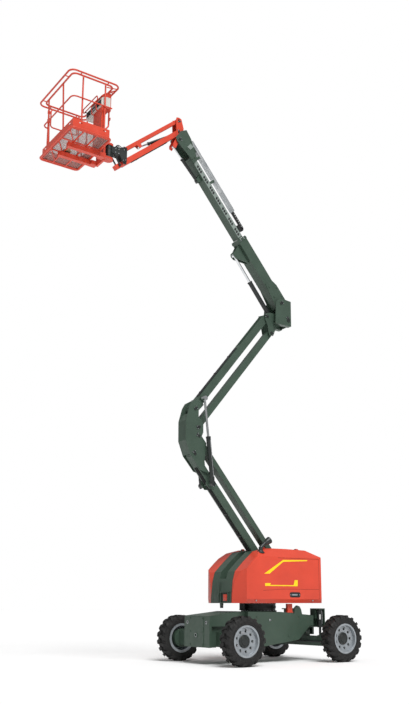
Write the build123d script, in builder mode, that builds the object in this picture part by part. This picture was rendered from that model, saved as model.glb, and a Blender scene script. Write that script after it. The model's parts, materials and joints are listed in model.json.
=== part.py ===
"""An articulating boom lift: a four-wheel chassis, a slewing turret, a levelled tower of two folding
parallelograms, a telescoping main boom, a levelled jib and a railed work platform.

Millimetres, +Z up, +X towards the platform, Y across. Stations along X are counted from the slew
axis, which stands slew_x from the origin. The boom stands raised, as it is shown to a buyer.
"""

from build123d import *
from math import atan2, cos, degrees, hypot, radians, sin
import os

os.makedirs("parts", exist_ok=True)

# ---------------------------------------------------------------- driving dimensions
slew_x = -1500

# clearances
pin_fit = 0.3
side_gap = 0.5

# wheels
tyre_radius = 415
tyre_width = 255
wheelbase = 2230
track = 2035
bead_radius = 245
rim_flange_radius = 265
lug_count = 18
lug_depth = 24
lug_width = 56
lug_sweep = 62
rim_flange_width = 14
rim_well_radius = 228
rim_disc = 12
disc_offset = 20
hub_cap_radius = 105
hub_cap_depth = 13
hub_shaft_radius = 40
axle_motor_radius = 165
axle_motor_length = 150

# axles and steering
kingpin_y = 800
kingpin_radius = 22
beam_width = 160
front_beam_low = 300
front_beam_high = 550
rear_beam_low = 265
rear_beam_high = 440
yoke_low = 245
yoke_high = 575
yoke_plate = 35
yoke_radius = 54
knuckle_radius = 46
axle_pivot_z = 520
steer_arm = 175
steer_arm_half = 20
tie_rod_radius = 17
tie_rod_z = 352
tie_pin_radius = 12
axle_pivot_radius = 35

# chassis
chassis_wall = 12
chassis_end_x = 1380
chassis_end_half = 400
chassis_mid_half = 500
chassis_low = 290
chassis_end_top = 825
chassis_mid_top = 900
chassis_tail_x = -970
tail_end_x = -1260
tail_half = 300
bracket_x = -1060
bracket_half = 500
oscillation_radius = 48
slew_ring_radius = 310
slew_ring_low = 906
turret_low = 1041

# turret and covers
band_half = 317
band_wall = 8
band_front = 830
groove_half = 105
groove_floor = 1475
cover_inner = 325
cover_side = 612
cover_wall = 8
cover_front_corner = 726
cover_rear = -1060
turret_top = 2026
shoulder_z = 1870
shoulder_y = 450
floor_plate = 22
pivot_plate = 18
pivot_gap = 9

# hinges of the covers
cover_hinge_y = 321
cover_hinge_z = turret_top + 8
cover_hinge_radius = 7
cover_hinges = (-640, 150)
hinge_post = 22

# tower: rest angles in degrees and pin stations
lower_angle = 50.5
riser_angle = 129.0
tower_length = 2752
lower_pin = (-220, 1575)
link_offset = (-90, 340)
riser_offset = (0, 840)
riser_link_offset = (-90, 510)
lower_width = 170
lower_height = 140
link_width = 160
link_height = 100
riser_link_width = 130
riser_link_height = 120
boom_wall = 10
tower_pin_radius = 28
upright_half = 130
upright_plate = 12
fork_length = 950
fork_throat = 120
fork_inner = 65

# tower cylinders
tower_cylinder_y = 185
tower_barrel_radius = 42
tower_rod_radius = 22
tower_base_s = 2118
tower_base_n = -63
tower_eye_s = 268
tower_barrel_length = 870
tower_eye_half = 43

# upper upright
mast_half = 200
mast_plate = 15
mast_cheek_half = 112
mast_cheek_plate = 16
main_pin = (-287, 316)
lift_base = (-213, -26)
main_pin_radius = 32

# main boom and its cylinder
main_angle = 50.3
outer_width = 220
outer_height = 230
outer_wall = 9
outer_axis = 71
outer_rear = -60
outer_length = 1540
mouth_length = 60
lift_eye_s = 1320
lift_eye_n = -250
lift_lug_half = 35
lift_lug_plate = 20
lift_barrel_radius = 45
lift_rod_radius = 26
lift_barrel_length = 922

# fly boom
fly_width = 180
fly_height = 120
fly_axis = 68
fly_rear = 1140
fly_tip = 3400
fly_wall = 8
nose_pin = (3806, 1)
nose_half = 110
nose_plate = 14
nose_pin_radius = 25
tray_width = 90
tray_height = 56
tray_wall = 4
tray_floor = 287
tray_start = 2066
tray_end = 3675
chain_turn = 44
chain_half = 20
link_count = 6
link_pitch = 54
link_opening = 13

# levelling cylinder under the nose
level_base = (2950, -75)
level_barrel_radius = 30
level_rod_radius = 15
level_barrel_length = 520
level_eye = (74, -137)

# jib
jib_angle = -41.0
jib_length = 1548
jib_lower_pin = (4, 169)
jib_upper_pin = (5, 437)
jib_lower_width = 120
jib_lower_height = 100
jib_upper_width = 88
jib_upper_height = 70
jib_wall = 11
jib_pin_radius = 18
jib_upright_plate = 14
jib_cylinder_radius = 27
jib_rod_radius = 14
jib_base_s = 165
jib_base_n = 20
jib_eye_s = 1169
jib_eye_n = -82
jib_barrel_length = 610

# platform, measured from the swivel axis and the deck
swivel_x = 3420
swivel_radius = 75
floor_z = 9050
frame_tube = 19
frame_front = 4490
frame_rear = 3720
frame_half = 690
frame_corner = 70
toe_plate = 4
toe_half = 655
toe_front = 4450
toe_rear = 3740
toe_height = 190
deck_plate = 5
rail_tube = 16
rail_top = 10150
rail_mid = 9690
rail_front = 4550
rail_rear = 3580
rail_half = 700
rail_corner = 110
rail_inset = 85


# ---------------------------------------------------------------- planes and forms
def across(x, z, angle=0, y=0):
    """A plane square to Y here, its own x turned up from +X by this angle."""
    turn = radians(angle)
    return Plane(origin=(slew_x + x, y, z), x_dir=(cos(turn), 0, sin(turn)), z_dir=(0, -1, 0))


def level(z, x=0, y=0):
    """A horizontal plane at this height, its own origin over this station."""
    return Plane(origin=(slew_x + x, y, z), x_dir=(1, 0, 0), z_dir=(0, 0, 1))


def facing(x, y=0, z=0):
    """A plane square to X at this station, its own x along Y and y along Z."""
    return Plane(origin=(slew_x + x, y, z), x_dir=(0, 1, 0), z_dir=(1, 0, 0))


def section(x, z, angle, y=0):
    """A plane square to a run that leaves here at this angle; its own y is the run's upper side."""
    turn = radians(angle)
    return Plane(origin=(slew_x + x, y, z), x_dir=(0, 1, 0), z_dir=(cos(turn), 0, sin(turn)))


def along(start, angle, s, n=0):
    """The (x, z) station s along a run from start and n to its upper side."""
    turn = radians(angle)
    return (start[0] + s * cos(turn) - n * sin(turn), start[1] + s * sin(turn) + n * cos(turn))


def moved(start, offset):
    """The (x, z) station this far from start."""
    return (start[0] + offset[0], start[1] + offset[1])


def flat(outline, plane, inset=0):
    """The face inside a closed loop of points on this plane, drawn in by inset."""
    with BuildSketch(plane) as shape:
        with BuildLine():
            Polyline(*outline, close=True)
        make_face()
        if inset:
            offset(amount=-inset, kind=Kind.INTERSECTION)
    return shape.sketch


def plate(outline, thickness, y=0, at=(0, 0), angle=0, mode=Mode.ADD):
    """A plate square to Y about its middle at y, from a closed loop of (x, z) points."""
    extrude(flat(outline, across(at[0], at[1], angle, y)), amount=thickness / 2, both=True, mode=mode)


def plates(outline, thickness, outer, at=(0, 0), angle=0, mode=Mode.ADD):
    """Two like plates, their outer faces this far from the middle plane."""
    for side in (-1, 1):
        plate(outline, thickness, side * (outer - thickness / 2), at, angle, mode)


def pin(at, radius, half, y=0, mode=Mode.ADD):
    """A round bar across the machine about this (x, z) station."""
    with BuildSketch(across(at[0], at[1], 0, y)) as shape:
        Circle(radius)
    extrude(shape.sketch, amount=half, both=True, mode=mode)


def stubs(at, radius, inner, outer, mode=Mode.ADD):
    """Two round bars across the machine, from inner to outer on either side."""
    for side in (-1, 1):
        pin(at, radius, (outer - inner) / 2, side * (inner + outer) / 2, mode)


def block(x_span, y_span, z_span, mode=Mode.ADD):
    """A box between these stations."""
    size = [high - low for low, high in (x_span, y_span, z_span)]
    middle = [(high + low) / 2 for low, high in (x_span, y_span, z_span)]
    with Locations((slew_x + middle[0], middle[1], middle[2])):
        Box(*size, mode=mode)


def column(x, y, z_span, radius, mode=Mode.ADD):
    """An upright round bar."""
    with BuildSketch(level(z_span[0], x, y)) as shape:
        Circle(radius)
    extrude(shape.sketch, amount=z_span[1] - z_span[0], mode=mode)


def bar(at, angle, s_span, width, height, n=0, y=0, mode=Mode.ADD):
    """A rectangular bar along a run, its middle n to the run's upper side."""
    start = along(at, angle, s_span[0], n)
    with BuildSketch(section(start[0], start[1], angle, y)) as shape:
        Rectangle(width, height)
    extrude(shape.sketch, amount=s_span[1] - s_span[0], mode=mode)


def rod(at, angle, s_span, radius, n=0, y=0, mode=Mode.ADD):
    """A round bar along a run."""
    start = along(at, angle, s_span[0], n)
    with BuildSketch(section(start[0], start[1], angle, y)) as shape:
        Circle(radius)
    extrude(shape.sketch, amount=s_span[1] - s_span[0], mode=mode)


def rounded_arm(at, angle, length, width, height, overhang):
    """A bar between two pins whose ends are rounded about them."""
    bar(at, angle, (0, length), width, height)
    for s in (0, length):
        pin(along(at, angle, s), overhang, width / 2)


def loop_tube(points, radius, corner, closed=True):
    """A round tube along straight runs with rounded corners."""
    with BuildLine() as path:
        if closed:
            FilletPolyline(*points, radius=corner, close=True)
        else:
            FilletPolyline(*points, radius=corner)
    with BuildSketch(Plane(origin=path.line @ 0, z_dir=path.line % 0)) as shape:
        Circle(radius)
    sweep(shape.sketch, path=path.line)


def tube_between(first, last, radius):
    """A straight round tube from one (x, y, z) station to another."""
    start = Vector(slew_x + first[0], first[1], first[2])
    run = Vector(slew_x + last[0], last[1], last[2]) - start
    with BuildSketch(Plane(origin=start, z_dir=run.normalized())) as shape:
        Circle(radius)
    extrude(shape.sketch, amount=run.length)


def save(piece, name):
    """Names the piece and writes it as its own file."""
    piece.part.label = name
    export_step(piece.part, "parts/" + name + ".step")


def heading(first, last):
    """The angle in degrees from one (x, z) station to another."""
    return degrees(atan2(last[1] - first[1], last[0] - first[0]))


def distance(first, last):
    """The distance between two (x, z) stations."""
    return hypot(last[0] - first[0], last[1] - first[1])


# ---------------------------------------------------------------- stations of the pins
front_axle_x = wheelbase / 2
rear_axle_x = -wheelbase / 2
wheel_y = track / 2
lower_end = along(lower_pin, lower_angle, tower_length)
link_pin = moved(lower_pin, link_offset)
link_end = moved(lower_end, link_offset)
riser_pin = moved(lower_end, riser_offset)
riser_link_pin = moved(lower_end, riser_link_offset)
riser_end = along(riser_pin, riser_angle, tower_length)
riser_link_end = along(riser_link_pin, riser_angle, tower_length)
tower_base = along(lower_pin, lower_angle, tower_base_s, tower_base_n)
tower_eye = along(riser_pin, riser_angle, tower_eye_s)
boom_pin = moved(riser_end, main_pin)
lift_foot = moved(riser_end, lift_base)
lift_eye = along(boom_pin, main_angle, lift_eye_s, lift_eye_n)
tip_pin = along(boom_pin, main_angle, nose_pin[0], nose_pin[1])
level_foot = along(boom_pin, main_angle, level_base[0], level_base[1])
level_end = moved(tip_pin, level_eye)
jib_foot = moved(tip_pin, jib_lower_pin)
jib_top = moved(tip_pin, jib_upper_pin)
jib_tip = along(jib_foot, jib_angle, jib_length)
jib_tip_top = along(jib_top, jib_angle, jib_length)
jib_base = along(jib_foot, jib_angle, jib_base_s, jib_base_n)
jib_eye = along(jib_top, jib_angle, jib_eye_s, jib_eye_n)

# ---------------------------------------------------------------- chassis
side_profile = [
    (chassis_end_x, chassis_low),
    (chassis_end_x, chassis_end_top),
    (670, chassis_mid_top),
    (-200, chassis_mid_top - 15),
    (chassis_tail_x, chassis_end_top - 5),
    (chassis_tail_x, 640),
    (-820, 640),
    (-540, 390),
    (230, chassis_low),
]
belly_profile = [
    (620, chassis_low + 2),
    (620, chassis_mid_top - 6),
    (-200, chassis_mid_top - 20),
    (-900, chassis_end_top - 10),
    (-900, 640),
    (-820, 640),
    (-540, 390),
    (230, chassis_low + 2),
]

recess_depth = 60
end_hollow = [
    (632, 565),
    (632, 875),
    (670, 875),
    (chassis_end_x - chassis_wall, chassis_end_top - 18),
    (chassis_end_x - chassis_wall, chassis_low + chassis_wall),
    (front_axle_x, chassis_low + chassis_wall),
    (front_axle_x, 565),
]
tie_down_y = 300
tie_down_z = 712
tie_down_radius = 18
tow_z = 495
tow_radius = 25

with BuildPart() as chassis:
    plate(side_profile, 2 * chassis_end_half)
    plate(belly_profile, 2 * chassis_mid_half)
    # the box is hollow
    extrude(flat(belly_profile, across(0, 0), chassis_wall), amount=chassis_mid_half - chassis_wall,
            both=True, mode=Mode.SUBTRACT)
    plate(end_hollow, 2 * (chassis_end_half - recess_depth - chassis_wall), mode=Mode.SUBTRACT)
    # the notch that the front axle beam is bolted up into, and the wheel-side recesses
    notch_half = beam_width / 2 + side_gap
    block((front_axle_x - notch_half, front_axle_x + notch_half),
          (-chassis_end_half - 1, chassis_end_half + 1), (0, front_beam_high + side_gap), Mode.SUBTRACT)
    for side in (-1, 1):
        recess = sorted((side * (chassis_end_half - recess_depth), side * (chassis_end_half + 1)))
        block((900, 1330), recess, (0, 645), Mode.SUBTRACT)
    # the end face: a raised panel with its tow boss, and two tie-down holes
    block((chassis_end_x - 5, chassis_end_x + 8), (-220, 220), (chassis_low + 10, chassis_end_top - 12))
    with BuildSketch(facing(chassis_end_x + 8, 0, tow_z)) as boss:
        Circle(tow_radius + 17)
    extrude(boss.sketch, amount=10)
    with BuildSketch(facing(chassis_end_x - 60)) as holes:
        with Locations((0, tow_z)):
            Circle(tow_radius)
        with Locations((-tie_down_y, tie_down_z), (tie_down_y, tie_down_z)):
            Circle(tie_down_radius)
    extrude(holes.sketch, amount=120, mode=Mode.SUBTRACT)
    # the tail over the steering axle, with its pivot cheeks
    block((tail_end_x, chassis_tail_x + 10), (-tail_half, tail_half), (600, chassis_end_top - 5))
    block((tail_end_x + 80, chassis_tail_x - 40), (-tail_half + 20, tail_half - 20), (500, 770),
          Mode.SUBTRACT)
    for low in (tail_end_x, chassis_tail_x - 40):
        block((low, low + 40), (-90, 90), (460, 620))
    with BuildSketch(facing(tail_end_x, 0, axle_pivot_z)) as axle_pivot:
        Circle(axle_pivot_radius)
    extrude(axle_pivot.sketch, amount=chassis_tail_x - tail_end_x)
    # the guide frames of the oscillation cylinders
    for side in (-1, 1):
        inner = side * (tail_half - 5)
        outer = side * (bracket_half + 62)
        block((bracket_x - 62, bracket_x + 62), sorted((inner, outer)), (925, 945))
        block((bracket_x - 62, bracket_x + 62), sorted((inner, side * (bracket_half - 55))), (760, 940))
        block((bracket_x - 74, bracket_x - 60), sorted((inner, outer)), (610, 945))
    # the seat of the slew ring, and the hump bracket beside the turntable lock
    column(0, 0, (chassis_mid_top - 60, slew_ring_low), slew_ring_radius + 22)
    hump = [(-640, 820), (-610, 930), (-570, 985), (-510, 1000), (-460, 960), (-440, 820)]
    plate(hump, 30, chassis_mid_half - 20)

save(chassis, "chassis_frame")

# the roof slopes down under the turntable lock, whose foot rests on its high edge
lock_foot = 872.1 + pin_fit

with BuildPart() as lock:
    block((-412, -302), (chassis_mid_half - 75, chassis_mid_half - 20), (lock_foot, 1030))
    block((-425, -285), (chassis_mid_half - 85, chassis_mid_half - 8), (lock_foot, lock_foot + 10))

save(lock, "turntable_lock")

with BuildPart() as slew_ring:
    with BuildSketch(level(slew_ring_low)) as ring:
        Circle(slew_ring_radius)
        Circle(slew_ring_radius - 70, mode=Mode.SUBTRACT)
    extrude(ring.sketch, amount=turret_low - slew_ring_low - pin_fit)

save(slew_ring, "slew_ring")

# ---------------------------------------------------------------- axles, knuckles and wheels
disc_y = wheel_y + disc_offset
motor_back = disc_y - axle_motor_length - 5


def axle_motor(x, side):
    """The round drive housing behind a wheel, with the shaft that the rim turns on."""
    centre = (x, tyre_radius)
    pin(centre, axle_motor_radius, axle_motor_length / 2, side * (motor_back + axle_motor_length / 2))
    shaft_end = disc_y + rim_disc - 2
    pin(centre, hub_shaft_radius, (shaft_end - motor_back) / 2, side * (shaft_end + motor_back) / 2)


with BuildPart() as front_axle:
    block((front_axle_x - beam_width / 2, front_axle_x + beam_width / 2), (-motor_back - 5, motor_back + 5),
          (front_beam_low, front_beam_high))
    for side in (-1, 1):
        axle_motor(front_axle_x, side)

save(front_axle, "front_axle")

with BuildPart() as rear_axle:
    block((rear_axle_x - beam_width / 2, rear_axle_x + beam_width / 2), (-700, 700),
          (rear_beam_low, rear_beam_high))
    # the hub that rocks on the chassis pivot
    block((rear_axle_x - 55, rear_axle_x + 55), (-80, 80), (rear_beam_high - 10, axle_pivot_z))
    with BuildSketch(facing(rear_axle_x - 55, 0, axle_pivot_z)) as hub:
        Circle(80)
    extrude(hub.sketch, amount=110)
    with BuildSketch(facing(rear_axle_x - 60, 0, axle_pivot_z)) as hub_bore:
        Circle(axle_pivot_radius + pin_fit)
    extrude(hub_bore.sketch, amount=120, mode=Mode.SUBTRACT)
    for side in (-1, 1):
        block((rear_axle_x - 60, rear_axle_x + 60), sorted((side * 660, side * 715)), (yoke_low, yoke_high))
        for low in (yoke_low, yoke_high - yoke_plate):
            block((rear_axle_x - yoke_radius, rear_axle_x + yoke_radius),
                  sorted((side * 700, side * kingpin_y)), (low, low + yoke_plate))
            column(rear_axle_x, side * kingpin_y, (low, low + yoke_plate), yoke_radius)
        column(rear_axle_x, side * kingpin_y, (yoke_low, yoke_high), kingpin_radius)
        # the foot of the oscillation cylinder
        foot = sorted((side * (bracket_half - 40), side * (bracket_half + 40)))
        block((bracket_x - 35, bracket_x + 35), foot, (rear_beam_high - 10, rear_beam_high + 20))

save(rear_axle, "rear_axle")

with BuildPart() as oscillation:
    for side in (-1, 1):
        column(bracket_x, side * bracket_half, (600, 925 - pin_fit), oscillation_radius)
        column(bracket_x, side * bracket_half, (rear_beam_high + 20 + pin_fit, 610), 24)

save(oscillation, "oscillation_cylinders")

for side, name in ((1, "knuckle_left"), (-1, "knuckle_right")):
    with BuildPart() as knuckle:
        column(rear_axle_x, side * kingpin_y,
               (yoke_low + yoke_plate + side_gap, yoke_high - yoke_plate - side_gap), knuckle_radius)
        axle_motor(rear_axle_x, side)
        block((rear_axle_x - 40, rear_axle_x + 40),
              sorted((side * kingpin_y, side * (motor_back + 10))), (320, 510))
        # the steering arm and the pin that the tie rod hangs on
        arm_high = tie_rod_z - tie_rod_radius - 3 - pin_fit
        block((rear_axle_x, rear_axle_x + steer_arm),
              (side * kingpin_y - steer_arm_half, side * kingpin_y + steer_arm_half),
              (arm_high - 28, arm_high))
        column(rear_axle_x + steer_arm, side * kingpin_y, (arm_high - 28, arm_high), 30)
        column(rear_axle_x + steer_arm, side * kingpin_y, (arm_high - 1, tie_rod_z + 30), tie_pin_radius)
        column(rear_axle_x, side * kingpin_y, (yoke_low, yoke_high), kingpin_radius + pin_fit,
               Mode.SUBTRACT)
    save(knuckle, name)

with BuildPart() as tie_rod:
    with BuildSketch(Plane(origin=(slew_x + rear_axle_x + steer_arm, -kingpin_y, tie_rod_z),
                           x_dir=(1, 0, 0), z_dir=(0, 1, 0))) as tie_section:
        Circle(tie_rod_radius)
    extrude(tie_section.sketch, amount=2 * kingpin_y)
    for side in (-1, 1):
        eye_span = (tie_rod_z - tie_rod_radius - 3, tie_rod_z + tie_rod_radius + 3)
        column(rear_axle_x + steer_arm, side * kingpin_y, eye_span, 27)
        column(rear_axle_x + steer_arm, side * kingpin_y, eye_span, tie_pin_radius + pin_fit, Mode.SUBTRACT)

save(tie_rod, "tie_rod")

tyre_half = tyre_width / 2
rim_half = tyre_half - 14
bead_y = rim_half - rim_flange_width - pin_fit
tread_radius = tyre_radius - lug_depth
lug_root = 340
carcass_profile = [
    (bead_radius + pin_fit, -bead_y),
    (rim_flange_radius + 0.5, -rim_half + 9 + pin_fit),
    (rim_flange_radius + 8, -tyre_half + 4),
    (330, -tyre_half),
    (365, -tyre_half + 12),
    (tread_radius, -tyre_half + 42),
    (tread_radius, tyre_half - 42),
    (365, tyre_half - 12),
    (330, tyre_half),
    (rim_flange_radius + 8, tyre_half - 4),
    (rim_flange_radius + 0.5, rim_half - 9 - pin_fit),
    (bead_radius + pin_fit, bead_y),
]
envelope_profile = [
    (300, -tyre_half),
    (345, -tyre_half),
    (390, -tyre_half + 8),
    (tyre_radius, -tyre_half + 30),
    (tyre_radius, tyre_half - 30),
    (390, tyre_half - 8),
    (345, tyre_half),
    (300, tyre_half),
]
rim_profile = [
    (rim_flange_radius, -rim_half),
    (rim_flange_radius, -rim_half + 9),
    (bead_radius, -rim_half + rim_flange_width),
    (bead_radius, rim_half - rim_flange_width),
    (rim_flange_radius, rim_half - 9),
    (rim_flange_radius, rim_half),
    (rim_well_radius + 6, rim_half),
    (rim_well_radius, disc_offset + rim_disc + 20),
    (hub_cap_radius + 30, disc_offset + rim_disc),
    (hub_cap_radius, disc_offset + rim_disc),
    (hub_cap_radius - 8, disc_offset + rim_disc + hub_cap_depth),
    (0, disc_offset + rim_disc + hub_cap_depth),
    (0, disc_offset + rim_disc),
    (hub_shaft_radius + pin_fit, disc_offset + rim_disc),
    (hub_shaft_radius + pin_fit, disc_offset),
    (hub_cap_radius + 40, disc_offset),
    (rim_well_radius - 8, disc_offset + 22),
    (rim_well_radius - 8, -rim_half),
]
wheels = [
    ("front_left", front_axle_x, 1),
    ("front_right", front_axle_x, -1),
    ("rear_left", rear_axle_x, 1),
    ("rear_right", rear_axle_x, -1),
]


def wheel_plane(x, side):
    """The half plane that a wheel's profiles are turned from: its own x is the radius, y outboard."""
    return Plane(origin=(slew_x + x, side * wheel_y, tyre_radius), x_dir=(1, 0, 0), z_dir=(0, 0, side))


def turned(profile, x, side, mode=Mode.ADD):
    """A profile turned about a wheel's axle."""
    axle_line = Axis((slew_x + x, side * wheel_y, tyre_radius), (0, 1, 0))
    revolve(flat(profile, wheel_plane(x, side)), axis=axle_line, mode=mode)


def tread_lugs(x, side):
    """The bent bars of the tread, in two rows half a pitch apart."""
    for row in (-1, 1):
        lug = [
            (-lug_width / 2, -12 * row),
            (-lug_width / 2 + 14, 55 * row),
            (-lug_width / 2 + lug_sweep, (tyre_half + 8) * row),
            (lug_width / 2 + lug_sweep, (tyre_half + 8) * row),
            (lug_width / 2 + 14, 55 * row),
            (lug_width / 2, -12 * row),
        ]
        for i in range(lug_count):
            turn = radians((i + row / 4) * 360 / lug_count)
            foot = (slew_x + x + lug_root * sin(turn), side * wheel_y, tyre_radius + lug_root * cos(turn))
            seat = Plane(origin=foot, x_dir=(cos(turn), 0, -sin(turn)), z_dir=(sin(turn), 0, cos(turn)))
            extrude(flat(lug, seat), amount=tyre_radius + 10 - lug_root)


for name, x, side in wheels:
    with BuildPart() as tyre:
        tread_lugs(x, side)
        turned(envelope_profile, x, side, Mode.INTERSECT)
        turned(carcass_profile, x, side)
    save(tyre, "tyre_" + name)

    with BuildPart() as rim:
        turned(rim_profile, x, side)
    save(rim, "rim_" + name)

# ---------------------------------------------------------------- turret
band_profile = [
    (110, turret_low),
    (band_front + 35, turret_low),
    (band_front + 30, 1180),
    (band_front, 1430),
    (band_front - 50, 1600),
    (600, 1775),
    (380, 1965),
    (110, turret_top - 12),
]
band_back = [(100, 1070), (130, 1070), (130, 2000), (100, 2000)]
floor_plan = [
    (cover_rear + 30, -552),
    (735, -552),
    (band_front, -band_half),
    (band_front, band_half),
    (735, 552),
    (cover_rear + 30, 552),
]
pivot_outer = lower_width / 2 + pivot_gap + pivot_plate
pivot_outline = [
    (-560, turret_low + 5),
    (-470, 1880),
    (-390, 1972),
    (-270, 1976),
    (-130, 1740),
    (40, turret_low + 5),
]

with BuildPart() as turret:
    extrude(flat(floor_plan, level(turret_low)), amount=floor_plate)
    plate(band_profile, 2 * band_half)
    pocket = band_half - groove_half - 2 * band_wall
    for side in (-1, 1):
        pocket_plane = across(0, 0, 0, side * (groove_half + band_wall + pocket / 2))
        for face in (flat(band_profile, pocket_plane, band_wall), flat(band_back, pocket_plane)):
            extrude(face, amount=pocket / 2, both=True, mode=Mode.SUBTRACT)
    # the groove that the folded tower lies in, and the recess of the front panel
    block((0, 1000), (-groove_half, groove_half), (groove_floor, 2200), Mode.SUBTRACT)
    block((0, band_front - 60), (-groove_half, groove_half), (turret_low + floor_plate, groove_floor - 10),
          Mode.SUBTRACT)
    block((band_front + 4, 1000), (-175, -65), (1085, 1230), Mode.SUBTRACT)
    # the pivot plates with the pins of the tower's two arms
    plates(pivot_outline, pivot_plate, pivot_outer)
    pin(lower_pin, tower_pin_radius, pivot_outer + 6)
    pin(link_pin, tower_pin_radius, pivot_outer + 6)
    # the posts and pins that the covers hang on
    for side in (-1, 1):
        block((cover_hinges[0] - 10, cover_hinges[0] + 80),
              sorted((side * (band_half - hinge_post), side * band_half)), (turret_low, turret_top - 12))
        for x in cover_hinges:
            block((x, x + 20), sorted((side * (band_half - 12), side * (cover_inner - side_gap))),
                  (turret_top - 26, cover_hinge_z + cover_hinge_radius))
            with BuildSketch(facing(x - 60, side * cover_hinge_y, cover_hinge_z)) as hinge_pin:
                Circle(cover_hinge_radius)
            extrude(hinge_pin.sketch, amount=70)
    # the stem under the front edge
    block((820, 868), (-24, 24), (1000, turret_low + 30))

save(turret, "turret_frame")

with BuildPart() as stop:
    column(844, 0, (955, 1000 - pin_fit), 30)

save(stop, "slew_stop")

with BuildPart() as slew_motor:
    column(375, 0, (slew_ring_low + 12, turret_low - pin_fit), 58)

save(slew_motor, "slew_motor")

with BuildPart() as counterweight:
    block((cover_rear + 8, -700), (-cover_inner + 14, cover_inner - 14),
          (turret_low + floor_plate + pin_fit, 1920))
    fillet(counterweight.edges().filter_by(Axis.Z).group_by(Axis.X)[0], 60)
    block((-840, -690), (-groove_half - 30, groove_half + 30), (1300, 2000), Mode.SUBTRACT)

save(counterweight, "counterweight")

with BuildPart() as engine:
    block((-545, 60), (170, 540), (turret_low + floor_plate + pin_fit, 1640))

save(engine, "engine_block")

exhaust_x = 330
exhaust_y = 500
exhaust_boss = 60
exhaust_radius = 34
cover_front_profile = [
    (cover_rear - 28, 1325),
    (cover_rear, 1345),
    (cover_rear, shoulder_z),
    (-750, turret_top - 14),
    (-300, turret_top),
    (150, turret_top),
    (380, 1965),
    (600, 1775),
    (band_front - 50, 1600),
    (band_front, 1430),
    (band_front + 22, 1180),
]


def cover_solid(side, inset):
    """The outer form of a side cover, drawn in by inset on all its closed faces."""
    inner = cover_inner if inset == 0 else cover_inner - 40
    low = turret_low if inset == 0 else turret_low - 40
    side_view = cover_front_profile + [(band_front + 26, low), (cover_rear - 28, low)]
    cross = [
        (inner, low),
        (cover_side - 42, low),
        (cover_side - 42, turret_low),
        (cover_side, turret_low + 70),
        (cover_side, shoulder_z),
        (shoulder_y, turret_top),
        (inner, turret_top),
    ]
    plan = [
        (cover_rear - 30, inner),
        (cover_rear - 30, 520),
        (cover_rear + 40, cover_side),
        (cover_front_corner, cover_side),
        (band_front + 30, cover_inner),
    ]
    if inset:
        plan.append((band_front + 30, inner))
    else:
        cross.pop(1)
    with BuildPart(mode=Mode.PRIVATE) as body:
        extrude(flat(side_view, across(0, 0, 0, side * 700), inset), amount=side * 700)
        cross_loop = [(side * y, z) for y, z in cross]
        extrude(flat(cross_loop, facing(cover_rear - 100), inset), amount=2100, mode=Mode.INTERSECT)
        plan_loop = [(x, side * y) for x, y in plan]
        extrude(flat(plan_loop, level(900), inset), amount=1300, mode=Mode.INTERSECT)
    return body.part


for side, name in ((1, "cover_left"), (-1, "cover_right")):
    with BuildPart() as cover:
        add(cover_solid(side, 0))
        add(cover_solid(side, cover_wall), mode=Mode.SUBTRACT)
        for x in cover_hinges:
            sleeve = facing(x - 50, side * cover_hinge_y, cover_hinge_z)
            with BuildSketch(sleeve) as knuckle_ring:
                Circle(cover_hinge_radius + 6)
            extrude(knuckle_ring.sketch, amount=48)
            block((x - 50, x - 2), sorted((side * cover_hinge_y, side * (cover_hinge_y + 30))),
                  (turret_top - 17, turret_top + 6))
            with BuildSketch(sleeve) as pin_hole:
                Circle(cover_hinge_radius + pin_fit)
            extrude(pin_hole.sketch, amount=48, mode=Mode.SUBTRACT)
        if side == 1:
            column(exhaust_x, exhaust_y, (1850, turret_top + 10), exhaust_boss + pin_fit, Mode.SUBTRACT)
    save(cover, name)

with BuildPart() as exhaust:
    column(exhaust_x, exhaust_y, (1870, 1950), exhaust_boss)
    column(exhaust_x, exhaust_y, (1940, 2035), exhaust_radius)
    tube_between((exhaust_x, exhaust_y, 2020), (exhaust_x - 100, exhaust_y, 2110), exhaust_radius)
    tube_between((exhaust_x - 90, exhaust_y, 2100), (exhaust_x - 200, exhaust_y, 2165), exhaust_radius + 4)

save(exhaust, "exhaust")

# ---------------------------------------------------------------- tower
arm_end = 62

with BuildPart() as lower_boom:
    rounded_arm(lower_pin, lower_angle, tower_length, lower_width, lower_height, arm_end)
    bar(lower_pin, lower_angle, (arm_end + 40, tower_length - arm_end - 40), lower_width - 2 * boom_wall,
        lower_height - 2 * boom_wall, mode=Mode.SUBTRACT)
    for at in (lower_pin, lower_end):
        pin(at, tower_pin_radius + pin_fit, lower_width, mode=Mode.SUBTRACT)
    # the cross pin that carries the feet of the tower cylinders
    pin(tower_base, 25, tower_cylinder_y + 34)
    stubs(tower_base, 42, lower_width / 2 - 2, tower_cylinder_y - tower_eye_half - side_gap)
    ear = [
        (tower_base_s - 130, -40),
        (tower_base_s - 70, -118),
        (tower_base_s + 55, -128),
        (tower_base_s + 130, -40),
    ]
    plates(ear, 14, lower_width / 2 + 6, lower_pin, lower_angle)

save(lower_boom, "lower_boom")

with BuildPart() as lower_link:
    rounded_arm(link_pin, lower_angle, tower_length, link_width, link_height, 48)
    bar(link_pin, lower_angle, (90, tower_length - 90), link_width - 2 * boom_wall,
        link_height - 2 * boom_wall, mode=Mode.SUBTRACT)
    for at in (link_pin, link_end):
        pin(at, tower_pin_radius + pin_fit, link_width, mode=Mode.SUBTRACT)

save(lower_link, "lower_link")

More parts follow.
